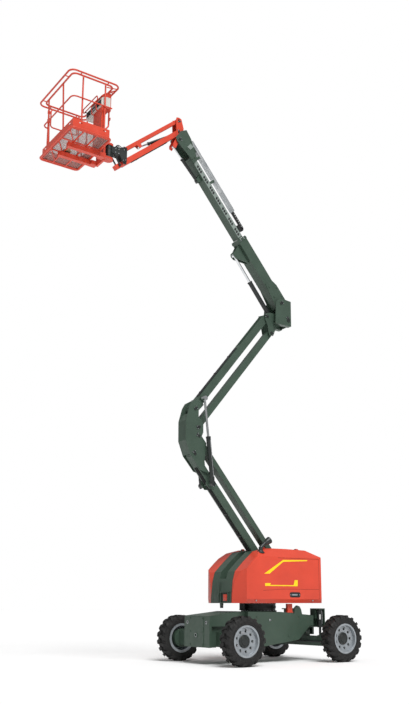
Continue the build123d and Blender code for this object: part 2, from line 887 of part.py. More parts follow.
upright_outline = [
    (1628, 3671), (1732, 3934), (1734, 4302), (1660, 4560), (1600, 4660), (1470, 4735), (1375, 4690),
    (1346, 4633), (1454, 4516), (1454, 4391), (1350, 4290), (1350, 4110), (1383, 4036), (1280, 3915),
    (1319, 3583), (1310, 3493), (1185, 3348), (1400, 3409),
]
upright_web = [(1628, 3680), (1732, 3934), (1734, 4302), (1665, 4440), (1650, 4430), (1718, 4298),
               (1716, 3940), (1614, 3686)]

with BuildPart() as mid_upright:
    plates(upright_outline, upright_plate, upright_half)
    plate(upright_web, 2 * upright_half - 2)
    for at in (lower_end, link_end, riser_pin, riser_link_pin):
        pin(at, tower_pin_radius, upright_half + 6)

save(mid_upright, "mid_upright")

with BuildPart() as riser:
    rounded_arm(riser_pin, riser_angle, tower_length, lower_width, lower_height, arm_end)
    bar(riser_pin, riser_angle, (arm_end + 40, tower_length - fork_length), lower_width - 2 * boom_wall,
        lower_height - 2 * boom_wall, mode=Mode.SUBTRACT)
    pin(riser_pin, tower_pin_radius + pin_fit, lower_width, mode=Mode.SUBTRACT)
    # the upper end is a fork that the lift cylinder lies in when the boom is folded
    bar(riser_pin, riser_angle, (tower_length - fork_length, tower_length + 100), 2 * fork_inner,
        lower_height, n=-boom_wall, mode=Mode.SUBTRACT)
    bar(riser_pin, riser_angle, (tower_length - fork_throat, tower_length + 100), 2 * fork_inner,
        lower_height + 10, mode=Mode.SUBTRACT)
    pin(riser_end, tower_pin_radius + pin_fit, lower_width, mode=Mode.SUBTRACT)
    # the bosses that the tower cylinders' rod eyes bear on
    stubs(tower_eye, 48, lower_width / 2 - 2, tower_cylinder_y - tower_eye_half - side_gap)

save(riser, "riser_boom")

with BuildPart() as riser_link:
    rounded_arm(riser_link_pin, riser_angle, tower_length, riser_link_width, riser_link_height, 52)
    bar(riser_link_pin, riser_angle, (92, tower_length - 92), riser_link_width - 2 * boom_wall,
        riser_link_height - 2 * boom_wall, mode=Mode.SUBTRACT)
    for at in (riser_link_pin, riser_link_end):
        pin(at, tower_pin_radius + pin_fit, riser_link_width, mode=Mode.SUBTRACT)

save(riser_link, "riser_link")


# ---------------------------------------------------------------- cylinders
def barrel(foot, angle, length, radius, rod_radius, half, pin_radius, y=0):
    """A cylinder's barrel: the foot eye, the tube with its gland, and the bore that its rod slides in."""
    pin(foot, radius + 2, half, y)
    rod(foot, angle, (0, length), radius, y=y)
    rod(foot, angle, (length - 30, length), radius + 4, y=y)
    rod(foot, angle, (radius + 38, length + 1), rod_radius + pin_fit, y=y, mode=Mode.SUBTRACT)
    pin(foot, pin_radius + pin_fit, half + 30, y, Mode.SUBTRACT)


def piston_rod(foot, eye, inner_s, radius, eye_radius, half, y=0):
    """A cylinder's rod, from its inner end to its eye."""
    angle = heading(foot, eye)
    rod(foot, angle, (inner_s, distance(foot, eye)), radius, y=y)
    pin(eye, eye_radius, half, y)


tower_heading = heading(tower_base, tower_eye)
with BuildPart() as tower_barrels:
    for side in (-1, 1):
        barrel(tower_base, tower_heading, tower_barrel_length, tower_barrel_radius, tower_rod_radius,
               tower_eye_half, 25, side * tower_cylinder_y)

save(tower_barrels, "tower_cylinder_barrels")

with BuildPart() as tower_rods:
    for side in (-1, 1):
        piston_rod(tower_base, tower_eye, 700, tower_rod_radius, 44, tower_eye_half,
                   side * tower_cylinder_y)

save(tower_rods, "tower_cylinder_rods")

# ---------------------------------------------------------------- upper upright
mast_outline = [
    (-542, -122),
    (-542, 395),
    (-400, 412),
    (-240, 400),
    (-160, 320),
    (-135, -139),
    (-300, -139),
]
cheek_outline = [
    (-500, -125),
    (-500, 90),
    (-60, 92),
    (60, 48),
    (60, -60),
    (0, -180),
    (-40, -386),
    (-140, -386),
    (-220, -200),
    (-330, -135),
]

with BuildPart() as mast:
    plates(mast_outline, mast_plate, mast_half, riser_end)
    plates(cheek_outline, mast_cheek_plate, mast_cheek_half, riser_end)
    plate([(-542, -122), (-542, 395), (-528, 395), (-528, -122)], 2 * mast_half - 2, 0, riser_end)
    for side in (-1, 1):
        plate([(-542, -139), (-542, -122), (-135, -122), (-135, -139)],
              mast_half - mast_cheek_half + mast_cheek_plate,
              side * (mast_half + mast_cheek_half - mast_cheek_plate) / 2, riser_end)
    pin(boom_pin, main_pin_radius, mast_half + 8)
    pin(lift_foot, 25, mast_half - 4)
    pin(moved(riser_end, (-471, -15)), 42, mast_half + 8)
    stubs(riser_end, tower_pin_radius, fork_inner + 1, mast_cheek_half + 8)
    pin(riser_link_end, tower_pin_radius, mast_cheek_half + 8)

save(mast, "upper_upright")

# ---------------------------------------------------------------- main boom
bulge_outline = [
    (-95, -60),
    (-95, 90),
    (-20, 222),
    (340, 222),
    (470, 180),
    (500, -20),
    (60, -90),
    (-40, -90),
]
lug_outline = [
    (1020, -40),
    (1255, -285),
    (1330, -298),
    (1375, -270),
    (1385, -200),
    (1460, -40),
]

with BuildPart() as main_boom:
    bar(boom_pin, main_angle, (outer_rear, outer_length), outer_width, outer_height, outer_axis)
    bar(boom_pin, main_angle, (outer_rear - 10, outer_length - mouth_length), outer_width - 2 * outer_wall,
        outer_height - 2 * outer_wall, outer_axis, mode=Mode.SUBTRACT)
    bar(boom_pin, main_angle, (0, outer_length + 10), fly_width + 2 * side_gap, fly_height + 2 * side_gap,
        fly_axis, mode=Mode.SUBTRACT)
    bar(boom_pin, main_angle, (outer_length - mouth_length, outer_length - 20), outer_width + 14,
        outer_height + 14, outer_axis)
    bar(boom_pin, main_angle, (outer_length - mouth_length - 10, outer_length), fly_width + 2 * side_gap,
        fly_height + 2 * side_gap, fly_axis, mode=Mode.SUBTRACT)
    plates(bulge_outline, 10, outer_width / 2 + 9, boom_pin, main_angle)
    plates(lug_outline, lift_lug_plate, lift_lug_half + side_gap + lift_lug_plate, boom_pin, main_angle)
    bar(boom_pin, main_angle, (1020, 1460), 2 * lift_lug_half + 42, 12, -40)
    stubs(lift_eye, 30, lift_lug_half + 10, lift_lug_half + lift_lug_plate + 4)
    pin(boom_pin, main_pin_radius + pin_fit, mast_half, mode=Mode.SUBTRACT)

save(main_boom, "main_boom")

lift_heading = heading(lift_foot, lift_eye)
with BuildPart() as lift_barrel:
    barrel(lift_foot, lift_heading, lift_barrel_length, lift_barrel_radius, lift_rod_radius, 34, 25)

save(lift_barrel, "lift_cylinder_barrel")

with BuildPart() as lift_rod:
    piston_rod(lift_foot, lift_eye, 800, lift_rod_radius, 42, lift_lug_half)

save(lift_rod, "lift_cylinder_rod")

# ---------------------------------------------------------------- fly boom with its nose
nose_outline = [
    (fly_tip - 140, fly_axis - 62),
    (fly_tip - 90, 142),
    (3516, 206),
    (3705, 272),
    (3900, 290),
    (3930, 170),
    (3880, -40),
    (3806, -70),
    (3720, -55),
    (fly_tip, 4),
]

with BuildPart() as fly:
    bar(boom_pin, main_angle, (fly_rear, fly_tip), fly_width, fly_height, fly_axis)
    bar(boom_pin, main_angle, (fly_rear - 1, fly_tip - 20), fly_width - 2 * fly_wall,
        fly_height - 2 * fly_wall, fly_axis, mode=Mode.SUBTRACT)
    plates(nose_outline, nose_plate, nose_half, boom_pin, main_angle)
    bar(boom_pin, main_angle, (fly_tip - 90, fly_tip), 2 * nose_half - 2, fly_height + 8, fly_axis + 4)
    bar(boom_pin, main_angle, (3440, 3660), 2 * nose_half - 2, 14, 212)
    for s in (2760, 3300):
        bar(boom_pin, main_angle, (s, s + 50), tray_width - 10, tray_floor - pin_fit - 120,
            (tray_floor + 120) / 2)
    pin(tip_pin, nose_pin_radius, nose_half + 6)
    # the lug of the levelling cylinder's foot
    plates([(2900, 12), (2915, -95), (2985, -95), (3030, 12)], 14, 44, boom_pin, main_angle)
    pin(level_foot, 15, 46)

save(fly, "fly_boom")

with BuildPart() as tray:
    bar(boom_pin, main_angle, (tray_start, tray_end), tray_width, tray_height, tray_floor + tray_height / 2)
    bar(boom_pin, main_angle, (tray_start - 1, tray_end - 60), tray_width - 2 * tray_wall, tray_height,
        tray_floor + tray_height / 2 + tray_wall, mode=Mode.SUBTRACT)

save(tray, "cable_tray")

chain_top = tray_floor + tray_wall + chain_half + pin_fit
chain_low = chain_top - 2 * chain_turn
chain_bend = 1700

with BuildPart() as chain:
    with BuildSketch(across(boom_pin[0], boom_pin[1], main_angle)) as band:
        with Locations((chain_bend, chain_top - chain_turn)):
            Circle(chain_turn + chain_half)
            Circle(chain_turn - chain_half, mode=Mode.SUBTRACT)
            Rectangle(200, 400, align=(Align.MIN, Align.CENTER), mode=Mode.SUBTRACT)
        with Locations((chain_bend, chain_top)):
            Rectangle(tray_start + 120 - chain_bend, 2 * chain_half, align=(Align.MIN, Align.CENTER))
        with Locations((chain_bend, chain_low)):
            Rectangle(90, 2 * chain_half, align=(Align.MIN, Align.CENTER))
    extrude(band.sketch, amount=30, both=True)
    # the openings between its links
    for i in range(link_count):
        link = along(boom_pin, main_angle, chain_bend + 35 + i * link_pitch, chain_top)
        pin(link, link_opening, 40, mode=Mode.SUBTRACT)
    for turn in (125, 180):
        link = along(boom_pin, main_angle, chain_bend + chain_turn * cos(radians(turn)),
                     chain_top - chain_turn + chain_turn * sin(radians(turn)))
        pin(link, link_opening, 40, mode=Mode.SUBTRACT)

save(chain, "cable_chain")

# ---------------------------------------------------------------- levelling cylinder
level_heading = heading(level_foot, level_end)
with BuildPart() as level_barrel:
    barrel(level_foot, level_heading, level_barrel_length, level_barrel_radius, level_rod_radius, 28, 15)

save(level_barrel, "level_cylinder_barrel")

with BuildPart() as level_rod:
    piston_rod(level_foot, level_end, 330, level_rod_radius, 24, 20)

save(level_rod, "level_cylinder_rod")

# ---------------------------------------------------------------- jib
jib_upright_outline = [
    (-60, 20),
    (-115, 280),
    (-60, 470),
    (-10, 490),
    (50, 480),
    (62, 430),
    (50, 170),
    (60, 20),
    (120, -110),
    (118, -170),
    (60, -190),
    (0, -50),
]
jib_upright_web = [(-60, 40), (-112, 280), (-62, 455), (-50, 450), (-98, 280), (-48, 45)]
jib_plate_outer = jib_lower_width / 2 + 6 + jib_upright_plate
jib_hub_radius = 33

with BuildPart() as jib_upright:
    plates(jib_upright_outline, jib_upright_plate, jib_plate_outer, tip_pin)
    plate(jib_upright_web, 2 * jib_plate_outer - 2, 0, tip_pin)
    pin(tip_pin, jib_hub_radius, jib_plate_outer)
    pin(tip_pin, nose_pin_radius + pin_fit, jib_plate_outer + 10, mode=Mode.SUBTRACT)
    pin(jib_foot, jib_pin_radius, jib_plate_outer + 5)
    pin(jib_top, jib_pin_radius, jib_plate_outer + 5)
    stubs(level_end, 22, 21, jib_plate_outer)

save(jib_upright, "jib_upright")

with BuildPart() as jib_boom:
    rounded_arm(jib_foot, jib_angle, jib_length, jib_lower_width, jib_lower_height, 46)
    bar(jib_foot, jib_angle, (70, jib_length - 55), jib_lower_width - 2 * jib_wall, jib_lower_height,
        jib_wall, mode=Mode.SUBTRACT)
    for at in (jib_foot, jib_tip):
        pin(at, jib_pin_radius + pin_fit, jib_lower_width, mode=Mode.SUBTRACT)
    pin(jib_base, 14, jib_lower_width / 2)

save(jib_boom, "jib_boom")

with BuildPart() as jib_link:
    rounded_arm(jib_top, jib_angle, jib_length, jib_upper_width, jib_upper_height, 33)
    bar(jib_top, jib_angle, (70, jib_length - 70), jib_upper_width - 16, jib_upper_height, -9,
        mode=Mode.SUBTRACT)
    for at in (jib_top, jib_tip_top):
        pin(at, jib_pin_radius + pin_fit, jib_upper_width, mode=Mode.SUBTRACT)
    jib_lug = [
        (jib_eye_s - 60, -20),
        (jib_eye_s - 32, -95),
        (jib_eye_s, -112),
        (jib_eye_s + 32, -95),
        (jib_eye_s + 60, -20),
    ]
    plates(jib_lug, 8, jib_upper_width / 2, jib_top, jib_angle)

save(jib_link, "jib_link")

jib_heading = heading(jib_base, jib_eye)
with BuildPart() as jib_barrel:
    barrel(jib_base, jib_heading, jib_barrel_length, jib_cylinder_radius, jib_rod_radius, 30, 14)

save(jib_barrel, "jib_cylinder_barrel")

with BuildPart() as jib_rod:
    piston_rod(jib_base, jib_eye, 520, jib_rod_radius, 26, jib_upper_width / 2 - 8 - side_gap)

save(jib_rod, "jib_cylinder_rod")

# ---------------------------------------------------------------- jib bracket and swivel
bracket_outline = [
    (-42, 300),
    (20, 312),
    (110, 250),
    (230, 240),
    (230, 110),
    (110, 105),
    (60, 20),
    (30, -42),
    (-30, -42),
    (-42, 60),
]
bracket_outer = jib_lower_width / 2 + 6 + 12
swivel_low = jib_tip[1] + 5
swivel_high = jib_tip[1] + 250

with BuildPart() as jib_bracket:
    plates(bracket_outline, 12, bracket_outer, jib_tip)
    block((jib_tip[0] + 105, swivel_x - 30), (-bracket_outer, bracket_outer),
          (jib_tip[1] + 110, jib_tip[1] + 240))
    column(swivel_x, 0, (swivel_low, swivel_high), swivel_radius)
    for at in (jib_tip, jib_tip_top):
        pin(at, jib_pin_radius, bracket_outer + 5)
    for side in (-1, 1):
        tube_between((swivel_x - 80, side * 62, jib_tip[1] + 120),
                     (jib_tip[0] + 92, side * 62, jib_tip[1] - 80), 15)
    pin((jib_tip[0] + 92, jib_tip[1] - 85), 24, 78)

save(jib_bracket, "jib_bracket")

# the block between the bracket's struts, in line with the lower arm
toe_clear = 76
with BuildPart() as bracket_toe:
    bar(jib_tip, jib_angle, (toe_clear, 226), 92, 84)
    pin((jib_tip[0] + 92, jib_tip[1] - 85), 24 + pin_fit, 100, mode=Mode.SUBTRACT)

save(bracket_toe, "bracket_toe")

# ---------------------------------------------------------------- platform
mount_x = 3600

with BuildPart() as mount:
    for low, high in ((swivel_low - 40, swivel_low - side_gap), (swivel_high + side_gap, swivel_high + 40)):
        with BuildSketch(level(low)) as arm:
            with Locations((swivel_x, 0)):
                Circle(85)
            with Locations(((swivel_x + mount_x) / 2, 0)):
                Rectangle(mount_x - swivel_x, 170)
        extrude(arm.sketch, amount=high - low)
    block((mount_x - 40, mount_x), (-150, 150), (floor_z - 120, swivel_high + 60))
    for side in (-1, 1):
        block((mount_x - 10, 4330), sorted((side * 150, side * 230)),
              (floor_z - 110, floor_z - frame_tube - pin_fit))
        block((mount_x - 10, mount_x + 110), sorted((side * 110, side * 235)),
              (floor_z - 110, floor_z - 30))

save(mount, "platform_mount")

frame_loop = [
    (slew_x + frame_rear, -frame_half, floor_z),
    (slew_x + frame_front, -frame_half, floor_z),
    (slew_x + frame_front, frame_half, floor_z),
    (slew_x + frame_rear, frame_half, floor_z),
]

with BuildPart() as platform_floor:
    loop_tube(frame_loop, frame_tube, frame_corner)
    for x in (3980, 4230):
        tube_between((x, -frame_half, floor_z), (x, frame_half, floor_z), 13)
    for y in (-230, 230):
        tube_between((frame_rear, y, floor_z), (frame_front, y, floor_z), 13)
    for side in (-1, 1):
        block((toe_rear, toe_front), sorted((side * (toe_half - toe_plate), side * toe_half)),
              (floor_z - 6, floor_z + toe_height))
    block((toe_front - toe_plate, toe_front), (-toe_half, toe_half), (floor_z - 6, floor_z + toe_height))
    block((toe_rear, toe_rear + toe_plate), (-toe_half, toe_half), (floor_z - 6, floor_z + toe_height))
    for y in (-650, 650):
        tube_between((frame_rear, y, floor_z), (frame_front, y, floor_z), 13)
    for first, last in (((4450, 560), (4240, 240)), ((4450, 100), (4240, -220)),
                        ((4450, -240), (4240, -560))):
        tube_between((first[0], first[1], floor_z), (last[0], last[1], floor_z), 10)
    with BuildSketch(across(0, floor_z + 140)) as side_slots:
        with Locations((3840, 0), (4300, 0)):
            SlotOverall(60, 20)
    extrude(side_slots.sketch, amount=toe_half + 10, both=True, mode=Mode.SUBTRACT)
    with BuildSketch(facing(toe_front - 20, 0, floor_z + 140)) as front_slots:
        with Locations((-520, 0), (520, 0)):
            SlotOverall(60, 20)
    extrude(front_slots.sketch, amount=40, mode=Mode.SUBTRACT)

save(platform_floor, "platform_floor")

with BuildPart() as deck:
    deck_gap = toe_plate + side_gap
    block((toe_rear + deck_gap, toe_front - deck_gap), (-toe_half + deck_gap, toe_half - deck_gap),
          (floor_z + 13 + pin_fit, floor_z + 13 + pin_fit + deck_plate))

save(deck, "platform_deck")


def rail_loop(rear, front, half, z, corner):
    """A closed rail at one height."""
    loop_tube([(slew_x + rear, -half, z), (slew_x + front, -half, z), (slew_x + front, half, z),
               (slew_x + rear, half, z)], rail_tube, corner)


post_radius = 15
post_foot = floor_z + 13 + 2 * pin_fit + deck_plate
post_front = toe_front - toe_plate - post_radius - 10
mid_front = 4472
anchor_x = rail_rear + rail_inset
anchor_y = 492
console_rear = 3702
console_front = 3880
console_low = 9720
console_high = 9930
console_span = (-40, 575)
console_back = 10
anchor_z = 9560
anchor_radius = 12
gate_post = 4380
gate_latch_post = 3765

with BuildPart() as rails:
    rail_loop(rail_rear, rail_front, rail_half, rail_top, rail_corner)
    rail_loop(rail_rear + rail_inset, rail_front - rail_inset, rail_half - rail_inset, rail_top,
              rail_corner - 20)
    for x in (3800, 4330):
        for side in (-1, 1):
            tube_between((x, side * (rail_half - rail_inset), rail_top),
                         (x, side * rail_half, rail_top), 10)
    for y in (-520, 440):
        for x in (rail_front, rail_rear):
            step = -rail_inset if x == rail_front else rail_inset
            tube_between((x, y, rail_top), (x + step, y, rail_top), 10)
    mid_half = rail_half - rail_inset + 24
    loop_tube([(slew_x + 3700, mid_half, rail_mid), (slew_x + mid_front, mid_half, rail_mid),
               (slew_x + mid_front, -mid_half, rail_mid), (slew_x + 4380, -mid_half, rail_mid)],
              13, 90, False)
    for y in (-430, 200):
        tube_between((post_front, y, post_foot - 5), (rail_front - rail_inset, y, rail_top), post_radius)
    for x, side in ((4270, 1), (3830, 1), (gate_post, -1), (gate_latch_post, -1)):
        column(x, side * (rail_half - rail_inset), (post_foot, rail_top), post_radius)
    rear_foot = toe_rear + toe_plate + post_radius + 4
    for y in (-450, 450):
        loop_tube([(slew_x + rear_foot, y, post_foot - 5), (slew_x + rear_foot, y, 9305),
                   (slew_x + rail_rear + rail_inset, y, 9445),
                   (slew_x + rail_rear + rail_inset, y, rail_top)], post_radius, 60, False)
    # the grab rail at the rear corner, and the loop that hangs beside the console
    tube_between((3769, 540, rail_top), (rail_rear, 590, rail_top), 10)
    tube_between((rail_rear + 4, 540, rail_top), (rail_rear + rail_inset, 401, rail_top), 10)
    loop_tube([(slew_x + rail_rear, 330, rail_top), (slew_x + rail_rear, 330, 9800),
               (slew_x + console_rear - console_back - pin_fit, 330, 9800)], 12, 60, False)
    block((rail_rear, rail_front), (-rail_half, rail_half), (post_foot - 20, post_foot), Mode.SUBTRACT)
    # the anchors for harness lanyards
    for side in (-1, 1):
        y = side * anchor_y
        block((anchor_x - 4, anchor_x + 4), sorted((side * 462, side * (anchor_y + 25))),
              (anchor_z - 25, anchor_z + 25))
        with BuildSketch(facing(anchor_x - 10, y, anchor_z)) as eye:
            Circle(anchor_radius)
        extrude(eye.sketch, amount=20, mode=Mode.SUBTRACT)

save(rails, "platform_rails")

console_outline = [
    (console_rear, console_low),
    (console_front - 25, console_low),
    (console_front, console_low + 30),
    (console_front, console_high - 50),
    (console_front - 60, console_high),
    (console_rear, console_high),
]
console_middle = (console_span[0] + console_span[1]) / 2

with BuildPart() as console:
    plate(console_outline, console_span[1] - console_span[0], console_middle)

save(console, "control_console")

hood_foot = console_high + pin_fit
hood_outline = [
    (console_rear, hood_foot),
    (console_front - 10, hood_foot),
    (console_front - 10, hood_foot + 18),
    (console_rear + 90, hood_foot + 95),
    (console_rear, hood_foot + 95),
]
stand_rear = 3795
guard_x = 3935

with BuildPart() as console_stand:
    # the pedestal on the deck, and the hood over the panel
    block((stand_rear, console_front - 12), (240, console_span[1] - 4), (post_foot, console_low - pin_fit))
    plate(hood_outline, 430, console_span[1] - 235)
    # the guard in front of the panel
    loop_tube([(slew_x + guard_x, console_span[0] - 6, 9850), (slew_x + guard_x, 530, 9850),
               (slew_x + guard_x + 12, 530, 9925), (slew_x + guard_x + 12, console_span[0] - 6, 9925)],
              10, 30)
    for y in (265, 440):
        tube_between((console_front - 20, y, 9690), (guard_x - 24, y, 9690), 9)
        tube_between((guard_x - 26, y, 9686), (guard_x, y, 9850), 9)
    # the shelf and the back plate that join them behind the console
    block((console_rear - console_back, stand_rear + 5), (240, console_span[1] - 4),
          (console_low - 12, console_low - pin_fit))
    block((console_rear - console_back, console_rear - pin_fit), (240, console_span[1] - 4),
          (console_low - 12, hood_foot + 95))
    block((console_rear - console_back, console_rear + 5), (240, console_span[1] - 4),
          (hood_foot, hood_foot + 95))

save(console_stand, "console_stand")

gate_y = rail_inset - rail_half

with BuildPart() as gate:
    loop_tube([(slew_x + gate_latch_post + 35, gate_y, 9720), (slew_x + gate_post - 45, gate_y, 9720),
               (slew_x + gate_post - 45, gate_y, 10090), (slew_x + gate_latch_post + 35, gate_y, 10090)],
              13, 50)
    for z in (9800, 9980):
        column(gate_post, gate_y, (z, z + 60), post_radius + 8)
        block((gate_post - 50, gate_post - 16), (gate_y - 8, gate_y + 8), (z + 5, z + 55))
        column(gate_post, gate_y, (z - 1, z + 61), post_radius + pin_fit, Mode.SUBTRACT)

save(gate, "platform_gate")

print("pieces written:", len(os.listdir("parts")))
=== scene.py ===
"""The looks of an articulating boom lift: the finish of each of its solids, and the fasteners, trim, pipes,
marks, mesh deck and fittings that are laid over them.

Metres, +Z up, +X towards the platform. Stations along X are counted from the slew axis.
"""

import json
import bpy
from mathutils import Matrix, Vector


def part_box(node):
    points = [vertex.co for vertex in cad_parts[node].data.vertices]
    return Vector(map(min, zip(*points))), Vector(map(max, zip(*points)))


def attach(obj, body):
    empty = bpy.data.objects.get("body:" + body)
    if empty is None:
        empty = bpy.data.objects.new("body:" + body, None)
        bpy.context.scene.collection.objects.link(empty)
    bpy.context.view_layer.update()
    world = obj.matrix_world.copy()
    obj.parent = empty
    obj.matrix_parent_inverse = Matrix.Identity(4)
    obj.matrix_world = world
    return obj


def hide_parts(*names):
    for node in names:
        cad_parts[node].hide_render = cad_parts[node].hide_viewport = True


bl_info = {
    "name": "Boom Lift Finishes",
    "version": (1, 0, 0),
    "blender": (4, 5, 0),
    "location": "View3D > Sidebar > Boom Lift",
    "description": "Finishes and fittings for a jointed articulating boom lift",
    "category": "Object",
}

from math import cos, pi, radians, sin, sqrt

import bmesh
import bpy
from mathutils import Matrix, Vector

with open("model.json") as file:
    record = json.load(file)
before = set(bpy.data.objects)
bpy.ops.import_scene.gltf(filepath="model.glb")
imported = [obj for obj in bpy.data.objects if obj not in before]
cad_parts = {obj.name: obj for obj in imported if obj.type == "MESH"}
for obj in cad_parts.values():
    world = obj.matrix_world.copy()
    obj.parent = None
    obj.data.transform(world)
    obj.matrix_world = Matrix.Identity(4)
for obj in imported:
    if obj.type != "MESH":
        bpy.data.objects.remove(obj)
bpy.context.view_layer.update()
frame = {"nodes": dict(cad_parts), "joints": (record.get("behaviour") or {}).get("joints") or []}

joints = {joint["name"]: joint for joint in frame["joints"]}
SIDES = (("left", 1), ("right", -1))
# how far a film that lies on a face is sunk into it
SUNK = 0.001
# edges sharper than this stay sharp in the shading
CREASE = radians(32)
# points closer than this are one
MERGE = 1e-6
WHEELS = [(end, side, sign) for end in ("front", "rear") for side, sign in SIDES]
ACROSS = Vector((0, 1, 0))
AHEAD = Vector((1, 0, 0))
UP = Vector((0, 0, 1))


# ---------------------------------------------------------------- places
def linear(code):
    """An sRGB hex colour as the linear red, green and blue that the shaders use."""
    parts = [int(code[i:i + 2], 16) / 255 for i in (0, 2, 4)]
    return tuple(part / 12.92 if part <= 0.04045 else ((part + 0.055) / 1.055) ** 2.4 for part in parts)


def pin_of(joint):
    """The place of a joint's pin."""
    return Vector(joints[joint]["pos_m"])


def at(x, y, z):
    """A place by its station from the slew axis, its side and its height."""
    return Vector((pin_of("slew").x + x, y, z))


def run_from(start, heading):
    """The frame of an arm: its own X along the arm, Y across the machine and Z to the arm's upper side."""
    ahead = Vector((heading.x, 0, heading.z)).normalized()
    turn = Matrix((ahead, ACROSS, ahead.cross(ACROSS))).transposed()
    return Matrix.Translation((start.x, 0, start.z)) @ turn.to_4x4()


def arm(first, last):
    """The frame of the arm that runs from one joint's pin to another's."""
    return run_from(pin_of(first), pin_of(last) - pin_of(first))


MAIN = run_from(pin_of("main_lift"), Vector(joints["fly_extend"]["axis"]))
LOWER = arm("tower_lift", "mid_upright_level")
RISER = arm("riser_lift", "upper_upright_level")
JIB = arm("jib_lift", "jib_bracket_level")


def toward(matrix, direction):
    """A direction of an arm's frame, turned into the machine's."""
    return (matrix.to_3x3() @ Vector(direction)).normalized()


def ring(centre, axis, radius, count, phase=0.0):
    """Sites on a circle about an axis, each with the axis as its own and its run along the circle."""
    turn = axis.to_track_quat("Z", "Y").to_matrix()
    sites = []
    for i in range(count):
        angle = phase + 2 * pi * i / count
        out = turn @ Vector((cos(angle), sin(angle), 0))
        sites.append((centre + radius * out, axis, axis.cross(out)))
    return sites


# ---------------------------------------------------------------- nodes and materials
def node(tree, kind, inputs=None, **settings):
    """Adds one node with its settings, and gives each named input a value or a link."""
    new = tree.nodes.new(kind)
    for field, value in settings.items():
        setattr(new, field, value)
    for name, value in (inputs or {}).items():
        if isinstance(value, bpy.types.NodeSocket):
            tree.links.new(value, new.inputs[name])
        else:
            new.inputs[name].default_value = value
    return new


def texture(tree, kind, place, size_mm, inputs=None, **settings):
    """A texture whose features are this many millimetres across: its outputs."""
    given = {"Vector": place, "Scale": 1000 / size_mm, **(inputs or {})}
    return node(tree, "ShaderNodeTex" + kind, given, **settings).outputs


def shader(name, colour, metallic=0.0, roughness=0.5, **sockets):
    """A new material with its Principled shader, and the object's own coordinates for its patterns."""
    material = bpy.data.materials.new(name)
    material.use_nodes = True
    tree = material.node_tree
    surface = tree.nodes["Principled BSDF"]
    surface.inputs["Base Color"].default_value = (*colour, 1)
    surface.inputs["Metallic"].default_value = metallic
    surface.inputs["Roughness"].default_value = roughness
    for socket, value in sockets.items():
        surface.inputs[socket.replace("_", " ")].default_value = value
    place = node(tree, "ShaderNodeTexCoord").outputs["Object"]
    return material, tree, surface, place


def blend(tree, surface, share, colour, other):
    """Colours the surface between two tones by a share."""
    tone = node(tree, "ShaderNodeMix", {"Factor": share}, data_type="RGBA")
    colours = [socket for socket in tone.inputs if socket.type == "RGBA"]
    colours[0].default_value = (*colour, 1)
    colours[1].default_value = (*other, 1)
    result = next(socket for socket in tone.outputs if socket.type == "RGBA")
    tree.links.new(result, surface.inputs["Base Color"])


def vary(tree, surface, place, colour, other, size_mm):
    """Lets the colour drift between two tones in patches of this size."""
    cloud = texture(tree, "Noise", place, size_mm, {"Detail": 5.0, "Roughness": 0.6})
    share = node(tree, "ShaderNodeMapRange", {"Value": cloud["Fac"], "From Min": 0.35, "From Max": 0.7})
    blend(tree, surface, share.outputs[0], colour, other)


def polish(tree, surface, place, low, high, size_mm):
    """Lets the roughness wander between two values in patches of this size."""
    cloud = texture(tree, "Noise", place, size_mm, {"Detail": 3.0})
    span = node(tree, "ShaderNodeMapRange", {"Value": cloud["Fac"], "From Min": 0.3, "From Max": 0.7,
                                             "To Min": low, "To Max": high})
    tree.links.new(span.outputs[0], surface.inputs["Roughness"])


def relief(tree, surface, height, depth_mm, strength=0.6):
    """Raises the surface by a pattern."""
    bump = node(tree, "ShaderNodeBump", {"Height": height, "Strength": strength,
                                         "Distance": depth_mm / 1000})
    tree.links.new(bump.outputs[0], surface.inputs["Normal"])


def tinted(colour, factor):
    """The same colour, lighter or darker."""
    return tuple(min(1.0, part * factor) for part in colour)


def enamel(name, colour, roughness, depth=0.82):
    """Two-pack enamel sprayed on steel: a clear gloss over a flat colour, with the soft ripple of a sprayed
    coat and a thin, uneven haze of dust that dulls it in patches."""
    material, tree, surface, place = shader(name, colour, 0.0, roughness, Coat_Weight=0.08,
                                            Coat_Roughness=0.2, IOR=1.45)
    vary(tree, surface, place, colour, tinted(colour, depth), 380)
    polish(tree, surface, place, roughness - 0.06, roughness + 0.12, 120)
    # the ripple of a sprayed coat is about 2 mm across; drawn at 9 mm so that it shows
    relief(tree, surface, texture(tree, "Noise", place, 9, {"Detail": 2.0})["Fac"], 0.15, 0.35)
    return material


def chrome():
    """Hard chrome plating, ground and polished along the rod: a mirror with faint lengthwise haze."""
    material, tree, surface, place = shader("hard_chrome", linear("DADCDD"), 1.0, 0.12)
    vary(tree, surface, place, linear("E4E6E7"), linear("C3C7CA"), 60)
    polish(tree, surface, place, 0.07, 0.2, 25)
    return material


def rubber(name, colour, dust, grain_mm):
    """Vulcanised rubber: near black and matt, with a fine pebble and paler dust rubbed into it."""
    material, tree, surface, place = shader(name, colour, 0.0, 0.82, IOR=1.52)
    vary(tree, surface, place, colour, dust, 90)
    polish(tree, surface, place, 0.68, 0.92, 40)
    relief(tree, surface, texture(tree, "Noise", place, grain_mm, {"Detail": 6.0})["Fac"], 1.2, 0.5)
    return material


def wheel_silver(colour):
    """Aluminium-flake paint on a pressed wheel: a half-metallic silver with a fine sparkle of flakes."""
    material, tree, surface, place = shader("silver_wheel_paint", colour, 0.45, 0.36, Coat_Weight=0.2,
                                            Coat_Roughness=0.2)
    vary(tree, surface, place, colour, tinted(colour, 0.78), 70)
    # real flakes are 0.05 mm; drawn at 4 mm so that the sparkle shows
    relief(tree, surface, texture(tree, "Voronoi", place, 4)["Distance"], 0.12, 0.3)
    polish(tree, surface, place, 0.28, 0.46, 60)
    return material


